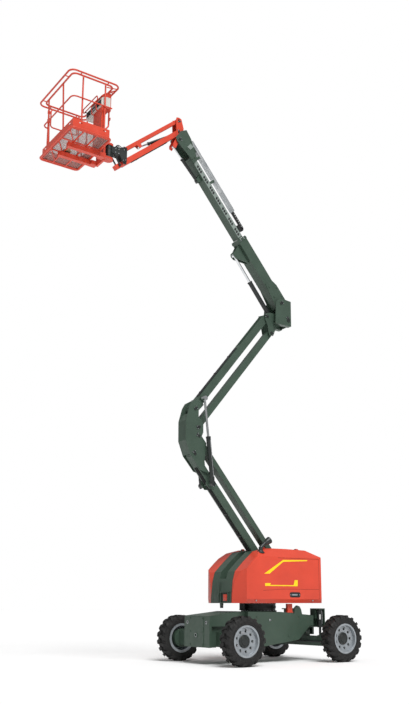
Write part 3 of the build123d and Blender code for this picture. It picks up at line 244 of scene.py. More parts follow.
def extruded_aluminium():
    """Mill-finish aluminium section: pale metal with the fine lines of its die along the run."""
    material, tree, surface, place = shader("extruded_aluminium", linear("C4C8CA"), 0.8, 0.38)
    vary(tree, surface, place, linear("CFD2D3"), linear("A6ABAE"), 160)
    lines = texture(tree, "Wave", place, 40, {"Distortion": 1.5}, bands_direction="Y")
    relief(tree, surface, lines["Fac"], 0.2, 0.3)
    polish(tree, surface, place, 0.3, 0.48, 80)
    return material


def galvanised():
    """Galvanised steel that has caught red overspray: pinkish grey, with the spangle of the zinc."""
    material, tree, surface, place = shader("galvanised_steel", linear("A98F8A"), 0.2, 0.5)
    crystals = texture(tree, "Voronoi", place, 14)
    blend(tree, surface, crystals["Distance"], linear("B49C97"), linear("8F6F69"))
    polish(tree, surface, place, 0.38, 0.6, 20)
    return material


def zinc_plate():
    """Zinc-plated fasteners: a soft grey metal, a little cloudy."""
    material, tree, surface, place = shader("zinc_plated_steel", linear("B4B7B8"), 0.9, 0.34)
    vary(tree, surface, place, linear("C0C3C4"), linear("8E9294"), 12)
    polish(tree, surface, place, 0.26, 0.46, 8)
    return material


def cast_iron(name, colour):
    """Sand-cast iron under one coat of paint: the grit of the mould shows as a coarse, dull grain."""
    material, tree, surface, place = shader(name, colour, 0.0, 0.62)
    vary(tree, surface, place, colour, tinted(colour, 0.7), 60)
    relief(tree, surface, texture(tree, "Noise", place, 6, {"Detail": 8.0})["Fac"], 1.6, 0.7)
    polish(tree, surface, place, 0.52, 0.74, 30)
    return material


def moulded(name, colour, roughness):
    """Injection-moulded plastic: one even colour with the fine satin texture of its mould."""
    material, tree, surface, place = shader(name, colour, 0.0, roughness, IOR=1.5)
    vary(tree, surface, place, colour, tinted(colour, 0.85), 45)
    # a mould's texture is about 0.3 mm; drawn at 3 mm so that it shows
    relief(tree, surface, texture(tree, "Voronoi", place, 3)["Distance"], 0.15, 0.4)
    polish(tree, surface, place, roughness - 0.08, roughness + 0.1, 35)
    return material


def film(name, colour):
    """Self-adhesive vinyl film: a smooth, even colour with a slight sheen and a few rubbed patches."""
    material, tree, surface, place = shader(name, colour, 0.0, 0.34, IOR=1.5)
    vary(tree, surface, place, colour, tinted(colour, 0.88), 140)
    polish(tree, surface, place, 0.26, 0.46, 50)
    return material


finishes = {}


def make_finishes(paint):
    """Every finish of the machine, by its plain name."""
    finishes.update({
        "green": enamel("dark_green_enamel", paint.frame_green, 0.42),
        "red": enamel("orange_red_enamel", paint.cover_red, 0.34, 0.9),
        # painted shade: the cover's red darkened to stand for the shade in its shut lines
        "painted_gap_shade": enamel("orange_red_painted_gap_shade", tinted(paint.cover_red, 0.3), 0.6),
        # painted shade: the frame's green darkened to stand for the shade in the front recess
        "painted_recess_shade": enamel("dark_green_painted_recess_shade", tinted(paint.frame_green, 0.35), 0.6),
        "black": enamel("black_chassis_enamel", paint.fitting_black, 0.4, 0.6),
        "chrome": chrome(),
        "tyre": rubber("tyre_rubber", linear("0C0D0D"), linear("191817"), 5),
        "hose": rubber("hose_rubber", linear("151617"), linear("232425"), 3),
        "wheel": wheel_silver(paint.wheel_silver),
        "tray": extruded_aluminium(),
        "deck": galvanised(),
        "zinc": zinc_plate(),
        "weight": cast_iron("painted_cast_iron", tinted(paint.frame_green, 0.9)),
        "engine": cast_iron("engine_cast_iron", linear("55585A")),
        "chain": moulded("black_nylon", linear("17181A"), 0.5),
        "panel": enamel("light_grey_enamel", paint.panel_grey, 0.4, 0.92),
        "black_plastic": moulded("black_moulded_plastic", linear("1A1B1D"), 0.55),
        "red_plastic": moulded("red_moulded_plastic", linear("B3201B"), 0.4),
        "yellow_plastic": moulded("yellow_moulded_plastic", linear("E8B50C"), 0.45),
        "white_plastic": moulded("white_moulded_plastic", linear("D9DBD8"), 0.45),
        "yellow": film("yellow_vinyl_film", paint.stripe_yellow),
        "strip": film("grey_green_vinyl_film", paint.strip_grey),
    })


# ---------------------------------------------------------------- pieces
def keep(name, mesh, finish, body):
    """A finished mesh as a piece that rides on a body, in the slot of its finish."""
    mesh.name = name
    mesh.materials.clear()
    mesh.materials.append(finishes[finish])
    piece = bpy.data.objects.new(name, mesh)
    bpy.context.scene.collection.objects.link(piece)
    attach(piece, body)
    return piece


def finished(name, shape, finish, body):
    """Closes a bmesh, shades it smooth but for its creases, and keeps it as a piece."""
    bmesh.ops.remove_doubles(shape, verts=shape.verts, dist=MERGE)
    bmesh.ops.recalc_face_normals(shape, faces=shape.faces)
    mesh = bpy.data.meshes.new(name)
    shape.to_mesh(mesh)
    shape.free()
    mesh.shade_smooth()
    mesh.set_sharp_from_angle(angle=CREASE)
    return keep(name, mesh, finish, body)


def box(shape, low, high, bevel, frame_of=None):
    """A box between two corners, its edges rounded, in the machine's frame or an arm's."""
    low, high = Vector(low), Vector(high)
    middle, size = (low + high) / 2, high - low
    spread = Matrix.Translation(middle) @ Matrix.Diagonal((*size, 1))
    made = bmesh.ops.create_cube(shape, size=1, matrix=spread)
    if frame_of is not None:
        bmesh.ops.transform(shape, matrix=frame_of, verts=made["verts"])
    if bevel:
        edges = list({edge for vert in made["verts"] for edge in vert.link_edges})
        bmesh.ops.bevel(shape, geom=edges, offset=bevel, segments=2, profile=0.5, affect="EDGES")


def slab(shape, outline, low, high):
    """A plate square to Y, from a loop of (x, z) stations."""
    loops = [[shape.verts.new(at(x, y, z)) for x, z in outline] for y in (low, high)]
    for loop in loops:
        shape.faces.new(loop)
    for i in range(len(outline)):
        j = (i + 1) % len(outline)
        shape.faces.new((loops[0][i], loops[0][j], loops[1][j], loops[1][i]))


def lathe(shape, profile, centre, axis, steps):
    """A profile of (radius, height) turned about an axis; a radius of nothing is a pole."""
    turn = Vector(axis).to_track_quat("Z", "Y").to_matrix()
    rings = []
    for radius, height in profile:
        count = steps if radius > MERGE else 1
        rings.append([shape.verts.new(centre + turn @ Vector((radius * cos(2 * pi * i / steps),
                                                              radius * sin(2 * pi * i / steps), height)))
                      for i in range(count)])
    for first, last in zip(rings, rings[1:]):
        for i in range(steps):
            j = (i + 1) % steps
            lower = [first[i % len(first)], first[j % len(first)]]
            upper = [last[j % len(last)], last[i % len(last)]]
            shape.faces.new(list(dict.fromkeys(lower + upper)))


def turned(name, shapes, finish, body):
    """Turned shapes as one piece, each from its profile, centre, axis and number of steps."""
    shape = bmesh.new()
    for profile, centre, axis, steps in shapes:
        lathe(shape, profile, centre, axis, steps)
    return finished(name, shape, finish, body)


def boxed(name, boxes, finish, body, frame_of=None):
    """Boxes as one piece, each from its two corners and the rounding of its edges."""
    shape = bmesh.new()
    for low, high, bevel in boxes:
        box(shape, low, high, bevel, frame_of)
    return finished(name, shape, finish, body)


def made_plain(holder):
    """What an object shows once it is evaluated, as a plain mesh; the object itself goes."""
    mesh = bpy.data.meshes.new_from_object(holder.evaluated_get(bpy.context.evaluated_depsgraph_get()))
    bpy.data.objects.remove(holder)
    return mesh


def pipe(name, routes, radius, finish, body):
    """Bent pipes along smooth lines through a few points each, as one mesh."""
    line = bpy.data.curves.new(name, "CURVE")
    line.dimensions = "3D"
    line.bevel_depth = radius
    line.bevel_resolution = 3
    line.use_fill_caps = True
    for route in routes:
        spline = line.splines.new("NURBS")
        spline.points.add(len(route) - 1)
        for point, place in zip(spline.points, route):
            point.co = (*place, 1)
        spline.order_u = 3
        spline.use_endpoint_u = True
        spline.resolution_u = 6
    holder = bpy.data.objects.new(name + "_line", line)
    bpy.context.scene.collection.objects.link(holder)
    mesh = made_plain(holder)
    mesh.shade_smooth()
    return keep(name, mesh, finish, body)


# ---------------------------------------------------------------- geometry trees
def new_tree(name, sizes):
    """A geometry tree with its sites, its named sizes and its finish as inputs."""
    tree = bpy.data.node_groups.new(name, "GeometryNodeTree")
    tree.interface.new_socket(name="Sites", in_out="INPUT", socket_type="NodeSocketGeometry")
    for label, value in sizes.items():
        kind = "NodeSocketInt" if isinstance(value, int) else "NodeSocketFloat"
        socket = tree.interface.new_socket(name=label, in_out="INPUT", socket_type=kind)
        socket.default_value = value
    tree.interface.new_socket(name="Finish", in_out="INPUT", socket_type="NodeSocketMaterial")
    tree.interface.new_socket(name="Mesh", in_out="OUTPUT", socket_type="NodeSocketGeometry")
    return tree, node(tree, "NodeGroupInput").outputs


def end_tree(tree, geometry, finish):
    """Makes the instances real, gives them their finish and ends the tree."""
    real = node(tree, "GeometryNodeRealizeInstances", {"Geometry": geometry})
    painted = node(tree, "GeometryNodeSetMaterial", {"Geometry": real.outputs[0], "Material": finish})
    node(tree, "NodeGroupOutput", {"Mesh": painted.outputs[0]})
    return tree


def placed(tree, given, shape):
    """One shape on every site, its Z on the site's axis and its X along the site's run."""
    read = []
    for name in ("axis", "along"):
        found = node(tree, "GeometryNodeInputNamedAttribute", {"Name": name}, data_type="FLOAT_VECTOR")
        read.append(next(socket for socket in found.outputs if socket.enabled))
    upright = node(tree, "FunctionNodeAlignRotationToVector", {"Vector": read[0]}, axis="Z")
    turned = node(tree, "FunctionNodeAlignRotationToVector",
                  {"Rotation": upright.outputs[0], "Vector": read[1]}, axis="X", pivot_axis="Z")
    spread = node(tree, "GeometryNodeInstanceOnPoints",
                  {"Points": given["Sites"], "Instance": shape, "Rotation": turned.outputs[0]})
    return spread.outputs[0]


def bolt_tree():
    """A hexagon head on its washer at every site."""
    tree, given = new_tree("Bolts on sites", {"Head radius": 0.01, "Head height": 0.008,
                                              "Washer radius": 0.014, "Washer thickness": 0.002})
    parts = []
    for sides, radius, height, foot in ((6, "Head radius", "Head height", "Washer thickness"),
                                        (16, "Washer radius", "Washer thickness", None)):
        disc = node(tree, "GeometryNodeMeshCylinder", {"Vertices": sides, "Radius": given[radius],
                                                       "Depth": given[height]})
        half = node(tree, "ShaderNodeMath", {0: given[height], 1: 0.5}, operation="MULTIPLY")
        rise = half.outputs[0]
        if foot:
            rise = node(tree, "ShaderNodeMath", {0: rise, 1: given[foot]}, operation="ADD").outputs[0]
        lift = node(tree, "ShaderNodeCombineXYZ", {"Z": rise})
        parts.append(node(tree, "GeometryNodeTransform", {"Geometry": disc.outputs["Mesh"],
                                                          "Translation": lift.outputs[0]}).outputs[0])
    both = node(tree, "GeometryNodeJoinGeometry")
    for part in parts:
        tree.links.new(part, both.inputs[0])
    return end_tree(tree, placed(tree, given, both.outputs[0]), given["Finish"])


def plate_tree():
    """A rounded plate, lying on its site, at every site."""
    tree, given = new_tree("Plates on sites", {"Length": 0.06, "Width": 0.03, "Thickness": 0.004,
                                               "Corner": 0.008})
    outline = node(tree, "GeometryNodeCurvePrimitiveQuadrilateral", {"Width": given["Length"],
                                                                     "Height": given["Width"]})
    corner = node(tree, "GeometryNodeFilletCurve", {"Curve": outline.outputs[0], "Count": 3,
                                                    "Radius": given["Corner"]}, mode="POLY")
    face = node(tree, "GeometryNodeFillCurve", {"Curve": corner.outputs[0]}, mode="NGONS")
    raised = node(tree, "GeometryNodeExtrudeMesh", {"Mesh": face.outputs[0], "Individual": False,
                                                    "Offset Scale": given["Thickness"]})
    back = node(tree, "GeometryNodeFlipFaces", {"Mesh": face.outputs[0]})
    both = node(tree, "GeometryNodeJoinGeometry")
    tree.links.new(raised.outputs[0], both.inputs[0])
    tree.links.new(back.outputs[0], both.inputs[0])
    closed = node(tree, "GeometryNodeMergeByDistance", {"Geometry": both.outputs[0], "Distance": MERGE})
    return end_tree(tree, placed(tree, given, closed.outputs[0]), given["Finish"])


def lattice_tree():
    """Expanded-metal mesh: strands that cross in diamonds, cut to a rectangle, on one site."""
    tree, given = new_tree("Expanded metal", {"Long pitch": 0.06, "Short pitch": 0.03, "Strand": 0.005,
                                              "Half length": 0.35, "Half width": 0.65, "Cells": 60})
    grid = node(tree, "GeometryNodeMeshGrid", {"Size X": given["Cells"], "Size Y": given["Cells"],
                                               "Vertices X": given["Cells"], "Vertices Y": given["Cells"]})
    askew = node(tree, "GeometryNodeTransform", {"Geometry": grid.outputs["Mesh"],
                                                 "Rotation": (0, 0, radians(45))})
    pitches = node(tree, "ShaderNodeCombineXYZ", {"X": given["Long pitch"], "Y": given["Short pitch"],
                                                  "Z": 1.0})
    sized = node(tree, "ShaderNodeVectorMath", {0: pitches.outputs[0], 1: (sqrt(0.5), sqrt(0.5), 1)},
                 operation="MULTIPLY")
    spread = node(tree, "GeometryNodeTransform", {"Geometry": askew.outputs[0], "Scale": sized.outputs[0]})
    where = node(tree, "ShaderNodeSeparateXYZ", {0: node(tree, "GeometryNodeInputPosition").outputs[0]})
    outside = []
    for name, half in (("X", "Half length"), ("Y", "Half width")):
        size = node(tree, "ShaderNodeMath", {0: where.outputs[name]}, operation="ABSOLUTE")
        outside.append(node(tree, "FunctionNodeCompare", {0: size.outputs[0], 1: given[half]},
                            operation="GREATER_THAN").outputs[0])
    either = node(tree, "FunctionNodeBooleanMath", {0: outside[0], 1: outside[1]}, operation="OR")
    cut = node(tree, "GeometryNodeDeleteGeometry", {"Geometry": spread.outputs[0],
                                                    "Selection": either.outputs[0]})
    lines = node(tree, "GeometryNodeMeshToCurve", {"Mesh": cut.outputs[0]})
    section = node(tree, "GeometryNodeCurvePrimitiveQuadrilateral", {"Width": given["Strand"],
                                                                     "Height": given["Strand"]})
    strands = node(tree, "GeometryNodeCurveToMesh", {"Curve": lines.outputs[0],
                                                     "Profile Curve": section.outputs[0],
                                                     "Fill Caps": True})
    return end_tree(tree, placed(tree, given, strands.outputs[0]), given["Finish"])


trees = {}


def make_trees():
    """The trees that make what repeats."""
    trees.update({"bolts": bolt_tree(), "plates": plate_tree(), "lattice": lattice_tree()})


def grown(name, tree, sites, sizes, finish, body):
    """Runs a tree over its sites and keeps the result as a plain mesh on a body."""
    points = bpy.data.meshes.new(name + "_sites")
    points.from_pydata([site[0] for site in sites], [], [])
    for index, key in ((1, "axis"), (2, "along")):
        values = points.attributes.new(key, "FLOAT_VECTOR", "POINT")
        for value, site in zip(values.data, sites):
            value.vector = site[index]
    holder = bpy.data.objects.new(name + "_sites", points)
    bpy.context.scene.collection.objects.link(holder)
    modifier = holder.modifiers.new("grow", "NODES")
    modifier.node_group = trees[tree]
    for socket in trees[tree].interface.items_tree:
        if socket.in_out == "INPUT" and socket.name in sizes:
            modifier[socket.identifier] = sizes[socket.name]
        if socket.in_out == "INPUT" and socket.name == "Finish":
            modifier[socket.identifier] = finishes[finish]
    mesh = made_plain(holder)
    if not mesh.polygons:
        raise RuntimeError(name + " came out empty")
    return keep(name, mesh, finish, body)


def bolts(name, sites, head, finish, body):
    """Hexagon bolts of one size on their sites."""
    height, washer, washer_thickness = 0.7, 1.4, 0.18
    sizes = {"Head radius": head, "Head height": head * height, "Washer radius": head * washer,
             "Washer thickness": head * washer_thickness}
    return grown(name, "bolts", sites, sizes, finish, body)


def plates(name, sites, length, width, thickness, corner, finish, body):
    """Rounded plates of one size on their sites."""
    sizes = {"Length": length, "Width": width, "Thickness": thickness, "Corner": corner}
    return grown(name, "plates", sites, sizes, finish, body)


# ---------------------------------------------------------------- settings
def colour_of(label, note, code):
    """A paint colour that a user may change."""
    return bpy.props.FloatVectorProperty(name=label, description=note, default=linear(code), min=0.0,
                                         max=1.0, size=3, subtype="COLOR")


def length_of(label, note, default):
    """A size in metres that a user may change."""
    return bpy.props.FloatProperty(name=label, description=note, default=default, min=0.0, unit="LENGTH")


class BoomLiftPaint(bpy.types.PropertyGroup):
    """Colours of the machine's finishes."""

    frame_green: colour_of("Frame green", "Enamel of the chassis, tower and booms", "3C4E42")
    cover_red: colour_of("Cover red", "Enamel of the covers, jib and platform", "D24630")
    fitting_black: colour_of("Fitting black", "Enamel of the cylinders and brackets", "232827")
    wheel_silver: colour_of("Wheel silver", "Paint of the rims", "9FA5AA")
    panel_grey: colour_of("Panel grey", "Enamel of the platform's control box", "C9CBC4")
    stripe_yellow: colour_of("Stripe yellow", "Film of the stripes on the covers", "F5D313")
    strip_grey: colour_of("Strip grey", "Film of the strip on the fly boom", "828D87")


class BoomLiftTrim(bpy.types.PropertyGroup):
    """Sizes of the fittings."""

    film: length_of("Film thickness", "How far a film stands off the paint", 0.0012)
    lug_circle: length_of("Wheel nut circle", "Radius of the circle of the wheel nuts", 0.170)
    lug_count: bpy.props.IntProperty(name="Wheel nuts", description="Nuts on each wheel", default=9, min=4)
    nut: length_of("Wheel nut", "Radius of a wheel nut", 0.017)
    bolt: length_of("Frame bolt", "Radius of a bolt head on the frame", 0.012)
    slot_length: length_of("Slot length", "Length of a slot on the fly boom's strip", 0.060)
    slot_width: length_of("Slot width", "Width of a slot on the fly boom's strip", 0.040)
    mesh_long: length_of("Deck mesh, long pitch", "Long way of a diamond of the deck", 0.034)
    mesh_short: length_of("Deck mesh, short pitch", "Short way of a diamond of the deck", 0.019)
    strand: length_of("Deck strand", "Thickness of a strand of the deck", 0.0045)


class BoomLiftStage(bpy.types.PropertyGroup):
    """The floor, the light and the camera."""

    floor: colour_of("Floor", "Colour of the floor", "FCFCFC")
    floor_size: length_of("Floor size", "Half the side of the floor", 90.0)
    sky: bpy.props.FloatProperty(name="Sky", description="Strength of the even light all round",
                                 default=0.36, min=0.0)
    key: bpy.props.FloatProperty(name="Key light", description="Strength of the soft light from the left",
                                 default=3.05, min=0.0)
    softness: bpy.props.FloatProperty(name="Softness", description="Angle that the key light fills",
                                      default=radians(35), min=0.0, subtype="ANGLE")
    lens: bpy.props.FloatProperty(name="Lens", description="Focal length in millimetres", default=43.906,
                                  min=1.0)
    heading: bpy.props.FloatProperty(name="Heading", description="Camera's turn from the machine's side",
                                     default=radians(35.09), subtype="ANGLE")
    pitch: bpy.props.FloatProperty(name="Pitch", description="Camera's tilt above the horizon",
                                   default=radians(13.31), subtype="ANGLE")


# ---------------------------------------------------------------- operators
SOLID_FINISHES = {
    "green": ("chassis_frame", "front_axle", "rear_axle", "knuckle_left", "knuckle_right", "turret_frame",
              "lower_boom", "lower_link", "mid_upright", "riser_boom", "riser_link", "upper_upright",
              "main_boom", "fly_boom"),
    "red": ("turntable_lock", "cover_left", "cover_right", "jib_upright", "jib_boom", "jib_link",
            "platform_mount", "platform_floor", "platform_rails", "platform_gate", "console_stand",
            "bracket_toe"),
    "black": ("oscillation_cylinders", "slew_ring", "slew_motor", "slew_stop", "exhaust", "tie_rod",
              "tower_cylinder_barrels", "lift_cylinder_barrel", "level_cylinder_barrel",
              "jib_cylinder_barrel", "jib_bracket"),
    "chrome": ("tower_cylinder_rods", "lift_cylinder_rod", "level_cylinder_rod", "jib_cylinder_rod"),
    "tyre": ("tyre_front_left", "tyre_front_right", "tyre_rear_left", "tyre_rear_right"),
    "wheel": ("rim_front_left", "rim_front_right", "rim_rear_left", "rim_rear_right"),
    "weight": ("counterweight",),
    "engine": ("engine_block",),
    "tray": ("cable_tray",),
    "chain": ("cable_chain",),
    "deck": ("platform_deck",),
    "panel": ("control_console",),
}


class BOOMLIFT_OT_finish_solids(bpy.types.Operator):
    """Give every solid its finish"""

    bl_idname = "boomlift.finish_solids"
    bl_label = "Finish the solids"

    def execute(self, context):
        make_finishes(context.scene.boomlift_paint)
        make_trees()
        given = set()
        for finish, names in SOLID_FINISHES.items():
            for name in names:
                for slot in frame["nodes"][name].material_slots:
                    slot.material = finishes[finish]
                given.add(name)
        if given != set(frame["nodes"]):
            raise RuntimeError("no finish for " + ", ".join(set(frame["nodes"]) - given))
        return {"FINISHED"}


# profiles of (radius, height) that the wheels share
WHEEL_STUD = [(0.0, 0.0), (0.0075, 0.0), (0.0075, 0.027), (0.0055, 0.030), (0.0, 0.030)]
VALVE_STEM = [(0.0, 0.0), (0.006, 0.0), (0.006, 0.022), (0.008, 0.024), (0.008, 0.034), (0.0, 0.036)]
SIDEWALL_RINGS = (
    [(0.276, 0.1230), (0.281, 0.1275), (0.287, 0.1275), (0.291, 0.1250), (0.276, 0.1230)],
    [(0.318, 0.1255), (0.322, 0.1300), (0.329, 0.1300), (0.334, 0.1250), (0.318, 0.1255)],
)


class BOOMLIFT_OT_wheels(bpy.types.Operator):
    """Add the hub caps, wheel nuts, valves and sidewall ribs"""

    bl_idname = "boomlift.wheels"
    bl_label = "Wheel fittings"

    def execute(self, context):
        trim = context.scene.boomlift_trim
        # the rim's disc: a flat around the hub, then a slope that rises to the well
        flat, cap_radius, shoulder, well, rise = 0.032, 0.105, 0.03, 0.228, 0.020
        slope = rise / (well - cap_radius - shoulder)
        nut_seat = flat + (trim.lug_circle - cap_radius - shoulder) * slope
        hub_cap = [(0.0, flat), (0.109, flat), (0.109, flat + 0.016), (0.103, flat + 0.021),
                   (0.070, flat + 0.023), (0.064, flat + 0.031), (0.030, flat + 0.034), (0.0, flat + 0.034)]
        hub_bolt_circle, rib_circle, sidewall, ribs = 0.086, 0.303, 0.1260, 48
        for end, side, sign in WHEELS:
            body, wheel = f"{end}_wheel_{side}", f"_{end}_{side}"
            centre = pin_of(f"{end}_wheel_spin_{side}")
            out = ACROSS * sign
            turned("hub_cap" + wheel, [(hub_cap, centre, out, 40)], "black", body)
            sites = ring(centre + out * (flat + 0.022), out, hub_bolt_circle, 8)
            bolts("hub_bolts" + wheel, sites, 0.007, "black", body)
            sites = ring(centre + out * (nut_seat - 0.003), out, trim.lug_circle, trim.lug_count)
            bolts("wheel_nuts" + wheel, sites, trim.nut, "black", body)
            turned("wheel_studs" + wheel, [(WHEEL_STUD, place, axis, 12) for place, axis, along in sites],
                   "zinc", body)
            valve = centre + out * 0.060 + UP * 0.205
            turned("valve" + wheel, [(VALVE_STEM, valve, (out - UP * 0.35).normalized(), 12)], "hose", body)
            sites = [(place, axis, axis.cross(along))
                     for place, axis, along in ring(centre + out * sidewall, out, rib_circle, ribs)]
            plates("sidewall_ribs" + wheel, sites, 0.034, 0.006, 0.0025, 0.002, "tyre", body)
            turned("sidewall_rings" + wheel, [(profile, centre, out, 72) for profile in SIDEWALL_RINGS],
                   "tyre", body)
        return {"FINISHED"}


def pin_ends():
    """Every pin whose ends show: the body that holds it, its place, half its length, its radius and the way
    that its keeper leans."""
    riser_end = pin_of("upper_upright_level")
    bracket = pin_of("jib_bracket_level")
    return [
        ("turret", pin_of("tower_lift"), 0.118, 0.028, (0.3, 0, -1)),
        ("turret", pin_of("link_swing"), 0.118, 0.028, (0.3, 0, 1)),
        ("mid_upright", pin_of("mid_upright_level"), 0.136, 0.028, (0.6, 0, 1)),
        ("mid_upright", pin_of("mid_upright_level") + Vector((-0.09, 0, 0.34)), 0.136, 0.028, (1, 0, 0.5)),
        ("mid_upright", pin_of("riser_lift"), 0.136, 0.028, (-0.8, 0, 0.6)),
        ("mid_upright", pin_of("riser_link_swing"), 0.136, 0.028, (1, 0, -0.4)),
        ("upper_upright", pin_of("main_lift"), 0.208, 0.032, (-1, 0, 0.5)),
        ("upper_upright", riser_end + Vector((-0.471, 0, -0.015)), 0.208, 0.042, (0.4, 0, 1)),
        ("upper_upright", riser_end, 0.120, 0.028, (1, 0, 0.2)),
        ("upper_upright", riser_end + pin_of("riser_link_swing") - pin_of("riser_lift"), 0.120, 0.028,
         (-1, 0, -0.5)),
        ("fly", pin_of("jib_upright_level"), 0.116, 0.025, (-1, 0, 0.4)),
        ("jib_upright", pin_of("jib_lift"), 0.085, 0.018, (-0.5, 0, 1)),
        ("jib_upright", pin_of("jib_link_swing"), 0.085, 0.018, (-0.6, 0, -1)),
        ("jib_bracket", bracket, 0.083, 0.018, (0.4, 0, 1)),
        ("jib_bracket", bracket + pin_of("jib_link_swing") - pin_of("jib_lift"), 0.083, 0.018,
         (1, 0, -0.3)),
        ("lower_boom", pin_of("tower_cylinder_swing"), 0.219, 0.025, (-0.4, 0, -1)),
    ]


class BOOMLIFT_OT_pins(bpy.types.Operator):
    """Add the turned ends, keeper plates and bolts of the pins"""

    bl_idname = "boomlift.pins"
    bl_label = "Pin ends and keepers"

    def execute(self, context):
        trim = context.scene.boomlift_trim
        # a keeper's thickness, how far its middle is from the pin's edge, and its two bolts from its middle
        thickness, keeper_offset, bolt_offset = 0.006, 0.016, 0.026
        by_body = {}
        for body, place, half, radius, lean in pin_ends():
            by_body.setdefault(body, []).append((place, half, radius, Vector(lean).normalized()))
        for body, pins in by_body.items():
            caps, keepers, screws = [], [], []
            for place, half, radius, lean in pins:
                middle = Vector((place.x, 0, place.z))
                profile = [(0.0, 0.0), (radius, 0.0), (radius, 0.004), (radius - 0.004, 0.007),
                           (0.008, 0.007), (0.006, 0.003), (0.0, 0.003)]
                for sign in (-1, 1):
                    out = ACROSS * sign
                    caps.append((profile, middle + out * (half - 0.001), out, 24))
                    seat = middle + out * (half - thickness) + lean * (radius + keeper_offset)
                    keepers.append((seat, out, lean.cross(out)))
                    for step in (-bolt_offset, bolt_offset):
                        screws.append((seat + out * thickness + lean.cross(out) * step, out, lean))
            turned("pin_ends_" + body, caps, "black", body)
            plates("pin_keepers_" + body, keepers, 0.076, 0.026, thickness, 0.008, "black", body)
            bolts("keeper_bolts_" + body, screws, trim.bolt * 0.6, "zinc", body)
        return {"FINISHED"}


class BOOMLIFT_OT_slew_ring(bpy.types.Operator):
    """Add the teeth and the bolts of the slew ring, and the motor's cap"""

    bl_idname = "boomlift.slew_ring"
    bl_label = "Slew ring"

    def execute(self, context):
        low, high = map(Vector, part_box("slew_ring"))
        radius = (high.x - low.x) / 2
        centre = Vector(((low.x + high.x) / 2, 0, 0))
        middle = (low.z + high.z) / 2
        tooth_count, bolt_count = 76, 30
        teeth = [(place, (place - centre - UP * middle).normalized(), UP)
                 for place, axis, along in ring(centre + UP * middle, UP, radius - 0.002, tooth_count)]
        plates("slew_teeth", teeth, 0.052, 0.013, 0.011, 0.003, "black", "chassis")
        sites = ring(centre + UP * low.z, UP, radius + 0.0125, bolt_count)
        bolts("slew_ring_bolts", sites, 0.0075, "zinc", "chassis")
        seal = [(radius - 0.01, 0.0), (radius + 0.012, 0.0), (radius + 0.012, 0.014),
                (radius + 0.004, 0.020), (radius - 0.01, 0.020), (radius - 0.01, 0.0)]
        turned("slew_seal", [(seal, centre + UP * (high.z - 0.024), UP, 72)], "black", "chassis")
        low, high = map(Vector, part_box("slew_motor"))
        middle = Vector(((low.x + high.x) / 2, 0, low.z))
        cap = [(0.0, -0.006), (0.045, -0.006), (0.052, 0.0), (0.062, 0.002), (0.062, 0.014), (0.057, 0.016),
               (0.057, 0.030), (0.0, 0.030)]
        turned("slew_motor_cap", [(cap, middle, UP, 36)], "black", "turret")
        bolts("slew_motor_bolts", ring(middle, -UP, 0.052, 6), 0.005, "zinc", "turret")
        return {"FINISHED"}


# outlines of (x, z) stations on a cover's side
STRIPES = (
    [(0.337, 1.559), (0.212, 1.561), (-0.106, 1.779), (-0.683, 1.807), (-0.684, 1.825), (-0.107, 1.814)],
    [(0.317, 1.392), (0.318, 1.343), (-0.440, 1.343), (-0.443, 1.455), (-0.371, 1.454), (-0.345, 1.362),
     (0.205, 1.362), (0.185, 1.392)],
)
# seams, each a line of (x, z) stations and its width: dark strips of painted shade where the cover's shut
# lines and creases fall in shade
SEAM_SHADES = (
    ([(0.02, 1.848), (-0.965, 1.848)], 0.007),
    ([(-0.965, 1.848), (-0.965, 1.115)], 0.007),
    ([(-0.965, 1.290), (-0.10, 1.290), (0.36, 1.262)], 0.005),
)


def seam_shade_strip(shape, points, side_y, sign, width, height):
    """A narrow strip of painted shade along a line of (x, z) stations on a cover's side."""
    for (x0, z0), (x1, z1) in zip(points, points[1:]):
        run = Vector((x1 - x0, z1 - z0)).normalized() * width / 2
        corners = [(x0 - run.y, z0 + run.x), (x1 - run.y, z1 + run.x), (x1 + run.y, z1 - run.x),
                   (x0 + run.y, z0 - run.x)]
        slab(shape, corners, *sorted((sign * (side_y - SUNK), sign * (side_y + height))))


